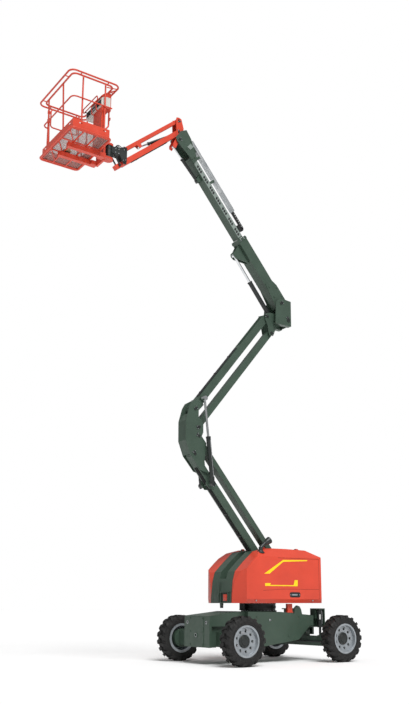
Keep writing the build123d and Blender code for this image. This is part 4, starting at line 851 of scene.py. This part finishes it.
class BOOMLIFT_OT_covers(bpy.types.Operator):
    """Add the stripes, latches, painted shade of the seams and grilles of the covers"""

    bl_idname = "boomlift.covers"
    bl_label = "Cover trim"

    def execute(self, context):
        trim = context.scene.boomlift_trim
        side_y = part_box("cover_left")[1][1]
        seam_height, latch_z, recess_depth = 0.0008, 1.190, 0.003
        slat_count, slat_pitch = 10, 0.036
        for side, sign in SIDES:
            body, out = side + "_cover", ACROSS * sign
            stripes = bmesh.new()
            face = sorted((sign * (side_y - SUNK), sign * (side_y + trim.film)))
            for outline in STRIPES:
                slab(stripes, outline, *face)
            finished("stripes_" + side, stripes, "yellow", body)
            # the seams are dark strips of painted shade in the darkened cover red
            seams = bmesh.new()
            for points, width in SEAM_SHADES:
                seam_shade_strip(seams, points, side_y, sign, width, seam_height)
            finished("seams_" + side, seams, "painted_gap_shade", body)
            recess = [(at(-0.375, sign * side_y, latch_z), out, AHEAD)]
            plates("latch_recess_" + side, recess, 0.250, 0.092, recess_depth, 0.030, "black_plastic", body)
            raised = sign * (side_y + recess_depth)
            paddle = [(at(-0.362, raised, latch_z), out, AHEAD)]
            plates("latch_paddle_" + side, paddle, 0.130, 0.026, 0.008, 0.008, "wheel", body)
            screws = [(at(x, raised, latch_z), out, AHEAD) for x in (-0.480, -0.270)]
            bolts("latch_screws_" + side, screws, 0.008, "zinc", body)
            # the grille at the rear of each cover: slats that lean down and out
            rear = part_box("cover_" + side)[0][0]
            slats = [(Vector((rear + 0.030, sign * 0.455, 1.42 + slat_pitch * i)),
                      -AHEAD + UP * 0.35, ACROSS) for i in range(slat_count)]
            plates("grille_slats_" + side, slats, 0.170, 0.026, 0.005, 0.004, "black_plastic", body)
            feet = [(at(x, sign * (side_y - 0.0005), 1.085), out, UP) for x in (0.52, -0.80)]
            bolts("cover_feet_" + side, feet, 0.010, "zinc", body)
        boot = [(0.062, 0.0), (0.078, 0.005), (0.078, 0.012), (0.062, 0.032), (0.048, 0.055),
                (0.037, 0.060), (0.033, 0.055), (0.055, 0.020), (0.062, 0.0)]
        turned("exhaust_boot", [(boot, at(0.330, 0.500, 1.925), UP, 36)], "black", "left_cover")
        mouth = [(0.036, -0.110), (0.047, -0.085), (0.062, -0.030), (0.066, 0.014), (0.061, 0.016),
                 (0.056, -0.028), (0.040, -0.080), (0.036, -0.110)]
        outward = Vector((-0.11, 0, 0.065)).normalized()
        turned("exhaust_mouth", [(mouth, at(0.130, 0.500, 2.165), outward, 36)], "black", "left_cover")
        return {"FINISHED"}


class BOOMLIFT_OT_turret(bpy.types.Operator):
    """Add the front recess with its painted shade, the ground controls and what stands under the covers"""

    bl_idname = "boomlift.turret"
    bl_label = "Turret fittings"

    def execute(self, context):
        self.front(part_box("turret_frame")[1][0] - pin_of("slew").x)
        self.engine(*map(Vector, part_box("engine_block")))
        self.tanks()
        low, high = map(Vector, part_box("counterweight"))
        sites = [(Vector((low.x + 0.001, y, z)), -AHEAD, UP) for y in (-0.16, 0.16) for z in (1.22, 1.74)]
        bolts("counterweight_bolts", sites, 0.022, "zinc", "turret")
        eye = [(0.018, -0.009), (0.034, -0.009), (0.034, 0.009), (0.018, 0.009), (0.018, -0.009)]
        turned("lifting_eyes", [(eye, Vector((low.x + 0.12, y, high.z + 0.022)), ACROSS, 28)
                                for y in (-0.2, 0.2)], "zinc", "turret")
        return {"FINISHED"}

    def front(self, face):
        """The recess in the front with its frame and its box; the recess's back is a dark sheet of painted
        shade. Columns: how far the back and the front stand off the face, the low and high Y, the low and
        high Z, and the rounding."""
        for name, finish, rows in (
                ("front_box", "red", [(-0.004, 0.012, 0.096, 0.205, 1.078, 1.196, 0.004)]),
                # the recess's back is painted shade: a darker green sheet where the recess falls in shade
                ("front_recess_painted_shade", "painted_recess_shade", [(-0.004, 0.002, 0.022, 0.236, 1.068, 1.228, 0.001)]),
                ("front_ledge", "green", [(-0.006, 0.020, -0.010, 0.262, 1.228, 1.244, 0.003),
                                          (-0.006, 0.016, 0.010, 0.022, 1.060, 1.230, 0.002),
                                          (-0.006, 0.016, 0.236, 0.248, 1.060, 1.230, 0.002),
                                          (-0.006, 0.008, -0.082, -0.052, 1.062, 1.420, 0.003),
                                          (-0.004, 0.003, -0.196, -0.084, 1.068, 1.246, 0.001)])):
            boxed(name, [(at(face + back, y0, z0), at(face + stand, y1, z1), bevel)
                         for back, stand, y0, y1, z0, z1, bevel in rows], finish, "turret")

    def engine(self, low, high):
        """The dress of the engine block."""
        top = high.z
        boxed("rocker_cover", [
            ((low.x + 0.06, 0.250, top - 0.01), (high.x - 0.10, 0.400, top + 0.085), 0.018),
            ((low.x + 0.08, 0.410, top - 0.02), (high.x - 0.14, 0.500, top + 0.040), 0.010),
        ], "black", "turret")
        bolts("rocker_bolts", [(Vector((low.x + 0.10 + 0.09 * i, 0.325, top + 0.085)), UP, AHEAD)
                               for i in range(5)], 0.009, "zinc", "turret")
        cleaner = [(0.0, 0.0), (0.070, 0.0), (0.075, 0.008), (0.075, 0.200), (0.082, 0.205), (0.082, 0.225),
                   (0.060, 0.240), (0.0, 0.240)]
        turned("air_cleaner", [(cleaner, Vector((high.x + 0.02, 0.400, top - 0.22)), AHEAD, 36)],
               "black_plastic", "turret")
        turned("pulleys", [([(0.0, 0.0), (radius, 0.0), (radius, 0.010), (radius - 0.012, 0.016),
                             (radius, 0.022), (radius, 0.032), (0.0, 0.032)],
                            Vector((high.x, 0.300, height)), AHEAD, 36)
                           for height, radius in ((1.30, 0.085), (1.50, 0.055))], "zinc", "turret")
        intake = [Vector((high.x + 0.13, 0.400, top - 0.14)), Vector((high.x + 0.13, 0.400, top - 0.02)),
                  Vector((high.x + 0.02, 0.380, top + 0.06)), Vector((high.x - 0.16, 0.360, top + 0.05))]
        pipe("intake_pipe", [intake], 0.024, "hose", "turret")

    def tanks(self):
        """The hydraulic and the fuel tank with their caps, under the right cover."""
        boxed("hydraulic_tank", [(at(-0.560, -0.560, 1.066), at(-0.060, -0.180, 1.520), 0.030),
                                 (at(0.020, -0.560, 1.066), at(0.420, -0.300, 1.330), 0.022)],
              "green", "turret")
        caps = bmesh.new()
        for x, y, z, radius in ((-0.450, -0.300, 1.520, 0.040), (-0.180, -0.450, 1.520, 0.028)):
            lathe(caps, [(0.0, 0.0), (radius, 0.0), (radius, 0.020), (radius - 0.006, 0.028), (0.0, 0.028)],
                  at(x, y, z), UP, 30)
        for near, far in ((0.060, 0.190), (0.240, 0.380)):
            box(caps, at(near, -0.530, 1.330), at(far, -0.330, 1.352), 0.006)
        finished("tank_caps", caps, "black_plastic", "turret")


class BOOMLIFT_OT_chassis(bpy.types.Operator):
    """Add the bolts, rims and plates of the chassis"""

    bl_idname = "boomlift.chassis"
    bl_label = "Chassis fittings"

    def execute(self, context):
        trim = context.scene.boomlift_trim
        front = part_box("chassis_frame")[1][0] - pin_of("slew").x
        panel, side_y = front - 0.010, 0.500
        sites = [(at(panel, y, z), AHEAD, UP) for y in (-0.195, 0.195) for z in (0.335, 0.560, 0.785)]
        bolts("end_panel_bolts", sites, trim.bolt, "green", "chassis")
        tie_rim = [(0.0185, -0.001), (0.030, -0.001), (0.030, 0.004), (0.026, 0.007), (0.0185, 0.007),
                   (0.0185, -0.001)]
        tow_rim = [(0.0255, -0.001), (0.034, -0.001), (0.034, 0.003), (0.0255, 0.003), (0.0255, -0.001)]
        rims = [(tie_rim, at(1.380, y, 0.712), AHEAD, 32) for y in (-0.300, 0.300)]
        turned("hole_rims", rims + [(tow_rim, at(front, 0, 0.495), AHEAD, 32)], "zinc", "chassis")
        plug = [(0.0, -0.002), (0.020, -0.002), (0.020, 0.004), (0.012, 0.008), (0.006, 0.022),
                (0.0, 0.022)]
        gland = [(0.025, -0.012), (0.052, -0.012), (0.052, 0.010), (0.046, 0.016), (0.025, 0.016),
                 (0.025, -0.012)]
        cylinder_x = -1.060
        for side, sign in SIDES:
            out = ACROSS * sign
            turned("grease_plug_" + side, [(plug, at(0.126, sign * side_y, 0.743), out, 24)], "zinc",
                   "chassis")
            blank = [(at(-1.020, sign * 0.549, 0.790), out, UP)]
            plates("blank_plate_" + side, blank, 0.090, 0.040, 0.0025, 0.006, "white_plastic", "chassis")
            sites = [(at(x, sign * side_y, z), out, UP)
                     for x, z in ((0.42, 0.46), (0.42, 0.80), (-0.55, 0.80), (-0.30, 0.46))]
            bolts("side_bolts_" + side, sites, trim.bolt, "green", "chassis")
            turned("oscillation_gland_" + side, [(gland, at(cylinder_x, sign * side_y, 0.612), UP, 36)],
                   "black", "chassis")
            route = [at(cylinder_x, sign * y, z)
                     for y, z in ((0.552, 0.90), (0.566, 0.85), (0.566, 0.72), (0.552, 0.66))]
            pipe("oscillation_pipe_" + side, [route], 0.006, "zinc", "chassis")
            motor = pin_of("front_wheel_spin_" + side)
            inner = motor - out * 0.135
            lines = [[inner + Vector((dx, 0, 0.05)), inner + Vector((dx, 0, 0.05)) - out * 0.06,
                      inner + Vector((dx * 0.5, 0, 0.10)) - out * 0.18, at(1.08 + dx, sign * 0.42, 0.60)]
                     for dx in (-0.03, 0.03)]
            pipe("drive_pipes_" + side, lines, 0.010, "hose", "chassis")
            sites = ring(motor + out * 0.005, out, 0.150, 12)
            bolts("drive_bolts_" + side, sites, 0.008, "zinc", "chassis")
        return {"FINISHED"}


class BOOMLIFT_OT_tower(bpy.types.Operator):
    """Add the pipes and clamps of the tower's arms, and the ports of its cylinders"""

    bl_idname = "boomlift.tower"
    bl_label = "Tower fittings"

    def execute(self, context):
        reach, below, clamp_below = 2.752, -0.078, -0.0705
        for name, body, frame_of, bare_end in (("lower", "lower_boom", LOWER, 0.25),
                                               ("riser", "riser", RISER, 1.05)):
            stop = reach - bare_end
            routes = [[frame_of @ Vector((s, y, below)) for s in (0.30, 0.60, 1.10, stop - 0.5, stop)]
                      for y in (-0.030, -0.010, 0.012, 0.034)]
            pipe(name + "_pipes", routes, 0.008, "hose", body)
            clamps = [(frame_of @ Vector((s, 0.002, clamp_below)), toward(frame_of, (0, 0, -1)),
                       toward(frame_of, (0, 1, 0))) for s in (0.42, 0.95, 1.45)]
            plates(name + "_clamps", clamps, 0.100, 0.030, 0.018, 0.006, "black_plastic", body)
        barrel = run_from(pin_of("tower_cylinder_swing"), Vector(joints["tower_cylinder_stroke"]["axis"]))
        tubes, ports = [], []
        for sign in (-1, 1):
            y = sign * 0.185
            for s in (0.10, 0.815):
                ports.append(((s - 0.018, y - 0.014 + sign * 0.046, -0.014),
                              (s + 0.018, y + 0.014 + sign * 0.046, 0.014), 0.003))
            tubes.append([barrel @ Vector((s, y + sign * 0.054, 0.0)) for s in (0.12, 0.30, 0.60, 0.80)])
        boxed("tower_ports", ports, "black", "tower_barrels", barrel)
        pipe("tower_cylinder_pipes", tubes, 0.006, "zinc", "tower_barrels")
        return {"FINISHED"}


def side_sites(stand, stations):
    """Sites on both sides of the main boom at (along, up) stations, their run along the boom."""
    return [(MAIN @ Vector((s, sign * stand, n)), ACROSS * sign, toward(MAIN, (1, 0, 0)))
            for sign in (-1, 1) for s, n in stations]


class BOOMLIFT_OT_boom(bpy.types.Operator):
    """Add the strip with the painted shade of its slots, the nose block, the wear pads and the lines of the
    boom
    """

    bl_idname = "boomlift.boom"
    bl_label = "Boom marks and fittings"

    def execute(self, context):
        trim = context.scene.boomlift_trim
        self.strip(trim)
        nose = bmesh.new()
        for sign in (-1, 1):
            y = sorted((sign * 0.109, sign * 0.118))
            slab(nose, [(1.759, 9.815), (1.684, 9.775), (1.611, 9.864), (1.685, 9.906)], *y)
        finished("nose_block", nose, "strip", "fly")
        sites = side_sites(0.110, ((3.36, 0.10), (3.36, 0.03), (3.58, 0.045), (3.66, 0.23)))
        bolts("nose_bolts", sites, trim.bolt, "green", "fly")
        sites = side_sites(0.117, [(s, n) for s in (1.492, 1.508) for n in (0.02, 0.118)])
        bolts("mouth_bolts", sites, 0.009, "zinc", "main_boom")
        pads = [((1.530, sign * 0.097 - 0.004, 0.030), (1.548, sign * 0.097 + 0.004, 0.106), 0.002)
                for sign in (-1, 1)]
        pads += [((1.530, -0.060, n), (1.548, 0.060, n_top), 0.002)
                 for n, n_top in ((0.131, 0.141), (-0.005, 0.005))]
        boxed("wear_pads", pads, "white_plastic", "main_boom", MAIN)
        sites = side_sites(0.119, ((0.10, 0.18), (0.30, 0.18), (0.40, 0.02), (0.18, 0.0)))
        bolts("bulge_bolts", sites, 0.013, "green", "main_boom")
        self.tray()
        # columns: the joints of the cylinder, its body, its barrel's length and radius
        for cylinder, body, reach, radius in (("lift_cylinder", "lift_barrel", 0.922, 0.045),
                                              ("level_cylinder", "level_barrel", 0.520, 0.030),
                                              ("jib_cylinder", "jib_barrel", 0.610, 0.027)):
            self.barrel(pin_of(cylinder + "_swing"), Vector(joints[cylinder + "_stroke"]["axis"]), body,
                        reach, radius)
        return {"FINISHED"}

    def strip(self, trim):
        """The strip on each side of the fly boom and its slots, thin enough to slide into the main boom.
        The slots are thin black plates of painted shade where the holes in the strip fall in shade.
        """
        half_width, axis_n, film, slot_shade_stand = 0.090, 0.068, 0.0003, 0.00045
        groups, pitch, step = 7, 0.238, 0.058
        strips, slots = [], []
        for sign in (-1, 1):
            y = sorted((sign * (half_width - SUNK), sign * (half_width + film)))
            strips.append(((1.57, y[0], axis_n - 0.050), (3.30, y[1], axis_n + 0.054), 0.0))
            for group in range(groups):
                for i in (-1, 0, 1):
                    s = 1.69 + group * pitch + i * step
                    slots.append((MAIN @ Vector((s, sign * half_width, axis_n - 0.004)), ACROSS * sign,
                                  toward(MAIN, (0.55, 0, 1))))
        boxed("fly_strip", strips, "strip", "fly", MAIN)
        # the slots are drawn as thin black plates: painted shade where the holes in the strip are
        plates("fly_slot_shades", slots, trim.slot_length, trim.slot_width, slot_shade_stand, 0.010, "black_plastic",
               "fly")

    def tray(self):
        """The tray's lip, the lines that lie in it, and the chain's rivets and cables."""
        boxed("tray_lip", [((2.070, low, 0.340), (3.670, high, 0.346), 0.001)
                           for low, high in ((-0.052, -0.041), (0.041, 0.052))], "tray", "fly", MAIN)
        lines = [[MAIN @ Vector((s, y, 0.300)) for s in (2.25, 2.60, 3.10, 3.50, 3.66)]
                 for y in (-0.028, -0.009, 0.010, 0.029)]
        pipe("tray_lines", lines, 0.008, "hose", "fly")
        half_chain = (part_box("cable_chain")[1][1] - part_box("cable_chain")[0][1]) / 2
        chain_n, pitch, links = 0.3113, 0.054, 7
        # a rivet between each two openings of the chain's side links
        rivets = [(MAIN @ Vector((1.708 + i * pitch, sign * half_chain, chain_n)), ACROSS * sign, UP)
                  for i in range(links) for sign in (-1, 1)]
        bolts("chain_rivets", rivets, 0.004, "chain", "fly")
        # the pale cables in the chain show through the openings of its links
        cables = [[MAIN @ Vector((s, sign * (half_chain - 0.012), chain_n))
                   for s in (1.715, 1.80, 1.95, 2.10)] for sign in (-1, 1)]
        pipe("chain_cables", cables, 0.0095, "white_plastic", "fly")

    def barrel(self, foot, heading, body, reach, radius):
        """The ports, the pipes and the gland of a cylinder's barrel."""
        barrel = run_from(foot, heading)
        ports, tubes = [], []
        first, last = 0.10, reach - 0.055
        for sign, s in ((-1, first), (1, last)):
            ports.append(((s - 0.014, sign * radius - 0.010, -0.008),
                          (s + 0.014, sign * radius + 0.006, 0.008), 0.002))
            tubes.append([barrel @ Vector((t, sign * (radius + 0.003), 0.0))
                          for t in (first, reach * 0.35, reach * 0.65, last)])
        boxed(body + "_ports", ports, "black", body, barrel)
        pipe(body + "_pipes", tubes, 0.005, "black", body)
        gland = [(radius + 0.003, -0.026), (radius + 0.007, -0.023), (radius + 0.007, -0.006),
                 (radius + 0.002, 0.002), (radius - 0.012, 0.002), (radius - 0.012, -0.026),
                 (radius + 0.003, -0.026)]
        turned(body + "_gland", [(gland, barrel @ Vector((reach, 0, 0)), heading, 32)], "black", body)


class BOOMLIFT_OT_jib(bpy.types.Operator):
    """Add the lines and fasteners of the jib and its bracket"""

    bl_idname = "boomlift.jib"
    bl_label = "Jib fittings"

    def execute(self, context):
        lines = [[JIB @ Vector((s, y, -0.056)) for s in (0.34, 0.60, 0.90, 1.20, 1.36)]
                 for y in (-0.020, 0.0, 0.020)]
        pipe("jib_lines", lines, 0.006, "hose", "jib_boom")
        clamps = [(JIB @ Vector((s, 0, -0.0500)), toward(JIB, (0, 0, -1)), ACROSS)
                  for s in (0.44, 0.82, 1.20)]
        plates("jib_clamps", clamps, 0.066, 0.022, 0.014, 0.005, "black_plastic", "jib_boom")
        swivel, tip = pin_of("platform_swing"), pin_of("jib_bracket_level")
        top = tip.z + 0.250
        cap = [(0.0, 0.0), (0.060, 0.0), (0.060, 0.010), (0.050, 0.018), (0.0, 0.018)]
        turned("swivel_cap", [(cap, Vector((swivel.x, 0, top + 0.040)), UP, 32)], "black", "platform")
        sites = ring(Vector((swivel.x, 0, top + 0.0395)), UP, 0.070, 8)
        bolts("swivel_bolts", sites, 0.007, "zinc", "platform")
        band = [(0.074, -0.010), (0.080, -0.008), (0.080, 0.008), (0.074, 0.010), (0.074, -0.010)]
        turned("rotator_bands", [(band, Vector((swivel.x, 0, tip.z + height)), UP, 36)
                                 for height in (0.06, 0.19)], "black", "jib_bracket")
        sites = [(tip + Vector((x, sign * 0.078, z)), ACROSS * sign, UP) for sign in (-1, 1)
                 for x, z in ((0.13, 0.215), (0.13, 0.135), (0.20, 0.215), (0.20, 0.135))]
        bolts("bracket_bolts", sites, 0.009, "zinc", "jib_bracket")
        loops = [[tip + Vector((0.02, y, 0.26)), tip + Vector((0.07, y, 0.33)),
                  tip + Vector((0.17, y * 1.2, 0.32)), tip + Vector((0.19, y * 1.2, 0.235))]
                 for y in (-0.03, 0.0, 0.03)]
        pipe("bracket_lines", loops, 0.007, "hose", "jib_bracket")
        return {"FINISHED"}


class BOOMLIFT_OT_platform(bpy.types.Operator):
    """Lay the mesh deck and fit the platform's controls"""

    bl_idname = "boomlift.platform"
    bl_label = "Platform fittings"

    def execute(self, context):
        trim = context.scene.boomlift_trim
        low, high = map(Vector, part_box("platform_deck"))
        middle, half = (low + high) / 2, (high - low) / 2
        sizes = {"Long pitch": trim.mesh_long, "Short pitch": trim.mesh_short, "Strand": trim.strand,
                 "Half length": half.y - 0.012, "Half width": half.x - 0.012, "Cells": 120}
        deck = grown("mesh_deck", "lattice", [(middle, UP, ACROSS)], sizes, "deck", "platform")
        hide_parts("platform_deck")
        edge = 0.010
        border = []
        for sign in (-1, 1):
            y, x = middle.y + sign * (half.y - edge), middle.x + sign * (half.x - edge)
            border += [((low.x, y - edge, low.z), (high.x, y + edge, high.z), 0.001),
                       ((x - edge, low.y, low.z), (x + edge, high.y, high.z), 0.001)]
        boxed("deck_border", border, "deck", "platform")
        self.controls(*map(Vector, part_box("control_console")))
        floor, base = high.z, high.z + 0.020
        boxed("foot_switch", [(at(4.10, -0.30, floor), at(4.24, -0.14, base), 0.004),
                              (at(4.11, -0.29, base), at(4.16, -0.15, floor + 0.075), 0.012)],
              "yellow_plastic", "platform")
        boxed("foot_pad", [(at(4.155, -0.275, base), at(4.230, -0.165, floor + 0.034), 0.003)],
              "black_plastic", "platform")
        lamp = [(0.0, 0.0), (0.026, 0.0), (0.026, 0.006), (0.021, 0.012), (0.019, 0.040), (0.012, 0.050),
                (0.0, 0.052)]
        turned("warning_lamp", [(lamp, at(3.738, 0.085, 9.93), UP, 28)], "yellow_plastic", "platform")
        return {"FINISHED"}

    def controls(self, low, high):
        """The face plate, levers, buttons and switches of the control box."""
        face = high.x
        plate = [(Vector((face - 0.0005, (low.y + high.y) / 2, low.z + 0.092)), AHEAD, ACROSS)]
        plates("control_face", plate, high.y - low.y - 0.03, 0.100, 0.003, 0.010, "black_plastic",
               "platform")
        lever = [(0.0, 0.0), (0.034, 0.0), (0.034, 0.004), (0.022, 0.010), (0.024, 0.015),
                 (0.016, 0.020), (0.006, 0.022), (0.006, 0.050), (0.012, 0.056), (0.013, 0.072),
                 (0.007, 0.078), (0.0, 0.078)]
        turned("levers", [(lever, Vector((face + 0.002, y, low.z + 0.095)), AHEAD, 28)
                          for y in (low.y + 0.110, high.y - 0.130)], "black_plastic", "platform")
        count, pitch = 6, 0.042
        switches, buttons = [[(Vector((face + 0.0025, low.y + 0.18 + pitch * i, low.z + rise)),
                               AHEAD, ACROSS) for i in range(count)] for rise in (0.115, 0.068)]
        bolts("switches", switches, 0.007, "zinc", "platform")
        plates("buttons", buttons, 0.022, 0.018, 0.005, 0.004, "white_plastic", "platform")
        seat = Vector((low.x + 0.050, low.y + 0.060, high.z))
        stop = [(0.0, 0.0), (0.012, 0.0), (0.012, 0.016), (0.022, 0.018), (0.022, 0.028), (0.016, 0.033),
                (0.0, 0.034)]
        turned("stop_button", [(stop, seat, UP, 28)], "red_plastic", "platform")
        collar = [(0.0, -0.001), (0.030, -0.001), (0.030, 0.004), (0.0, 0.004)]
        turned("stop_collar", [(collar, seat, UP, 28)], "yellow_plastic", "platform")


# the lens's shift, as the picture is cropped a little off its axis, and the camera's stations
LENS_SHIFT = (-0.0291, 0.0682)
CAMERA_PLACE = (9.98, 13.11, 1.041)
KEY_FROM = (0.14, 0.62, 0.77)


class BOOMLIFT_OT_stage(bpy.types.Operator):
    """Set up the floor, the light and the camera"""

    bl_idname = "boomlift.stage"
    bl_label = "Stage"

    def execute(self, context):
        stage = context.scene.boomlift_stage
        self.floor(stage)
        self.light(context, stage)
        self.camera(context, stage)
        context.scene.view_settings.view_transform = "Standard"
        return {"FINISHED"}

    def floor(self, stage):
        """A plain pale floor."""
        material, tree, surface, place = shader("pale_floor", stage.floor, 0.0, 0.9)
        vary(tree, surface, place, stage.floor, tinted(stage.floor, 0.985), 2500)
        size = stage.floor_size
        mesh = bpy.data.meshes.new("floor")
        mesh.from_pydata([(-size, -size, 0), (size, -size, 0), (size, size, 0), (-size, size, 0)], [],
                         [(0, 1, 2, 3)])
        mesh.materials.append(material)
        floor = bpy.data.objects.new("floor", mesh)
        bpy.context.scene.collection.objects.link(floor)

    def light(self, context, stage):
        """Even light all round, white where the camera looks past the machine, and one large soft light
        from the left and above."""
        world = bpy.data.worlds.new("studio")
        world.use_nodes = True
        tree = world.node_tree
        tree.nodes.clear()
        rays = node(tree, "ShaderNodeLightPath").outputs
        level = node(tree, "ShaderNodeMapRange", {"Value": rays["Is Camera Ray"], "To Min": stage.sky,
                                                  "To Max": 1.0})
        sky = node(tree, "ShaderNodeBackground", {"Color": (1, 1, 1, 1), "Strength": level.outputs[0]})
        node(tree, "ShaderNodeOutputWorld", {"Surface": sky.outputs[0]})
        context.scene.world = world
        lamp = bpy.data.lights.new("key", "SUN")
        lamp.energy = stage.key
        lamp.angle = stage.softness
        key = bpy.data.objects.new("key", lamp)
        key.rotation_mode = "QUATERNION"
        key.rotation_quaternion = Vector(KEY_FROM).to_track_quat("Z", "Y")
        context.scene.collection.objects.link(key)

    def camera(self, context, stage):
        """The camera stands at head height, ahead and to the left, and looks up at the boom."""
        right = Vector((-cos(stage.heading), sin(stage.heading), 0))
        level = Vector((-sin(stage.heading), -cos(stage.heading), 0))
        look = level * cos(stage.pitch) + UP * sin(stage.pitch)
        data = bpy.data.cameras.new("camera")
        data.sensor_width = 36
        data.lens = stage.lens
        data.shift_x, data.shift_y = LENS_SHIFT
        data.clip_end = 400
        camera = bpy.data.objects.new("camera", data)
        turn = Matrix((right, right.cross(look), -look)).transposed()
        camera.matrix_world = Matrix.Translation(at(*CAMERA_PLACE)) @ turn.to_4x4()
        context.scene.collection.objects.link(camera)
        context.scene.camera = camera


OPERATORS = (BOOMLIFT_OT_finish_solids, BOOMLIFT_OT_wheels, BOOMLIFT_OT_pins, BOOMLIFT_OT_slew_ring,
             BOOMLIFT_OT_covers, BOOMLIFT_OT_turret, BOOMLIFT_OT_chassis, BOOMLIFT_OT_tower,
             BOOMLIFT_OT_boom, BOOMLIFT_OT_jib, BOOMLIFT_OT_platform, BOOMLIFT_OT_stage)
SETTINGS = (("boomlift_paint", BoomLiftPaint), ("boomlift_trim", BoomLiftTrim),
            ("boomlift_stage", BoomLiftStage))


class BOOMLIFT_PT_panel(bpy.types.Panel):
    """The steps, in their order, and the settings"""

    bl_idname = "BOOMLIFT_PT_panel"
    bl_label = "Boom Lift"
    bl_space_type = "VIEW_3D"
    bl_region_type = "UI"
    bl_category = "Boom Lift"

    def draw(self, context):
        for operator in OPERATORS:
            self.layout.operator(operator.bl_idname)
        for name, group in SETTINGS:
            values = getattr(context.scene, name)
            for field in group.__annotations__:
                self.layout.prop(values, field)


def register():
    """Makes the settings, the operators and the panel known."""
    for name, group in SETTINGS:
        bpy.utils.register_class(group)
        setattr(bpy.types.Scene, name, bpy.props.PointerProperty(type=group))
    for operator in OPERATORS:
        bpy.utils.register_class(operator)
    bpy.utils.register_class(BOOMLIFT_PT_panel)


def unregister():
    """Takes them away again."""
    bpy.utils.unregister_class(BOOMLIFT_PT_panel)
    for operator in reversed(OPERATORS):
        bpy.utils.unregister_class(operator)
    for name, group in reversed(SETTINGS):
        delattr(bpy.types.Scene, name)
        bpy.utils.unregister_class(group)


def main():
    """Dresses the machine."""
    register()
    for operator in OPERATORS:
        group, name = operator.bl_idname.split(".")
        getattr(getattr(bpy.ops, group), name)()


if __name__ == "__main__":
    main()
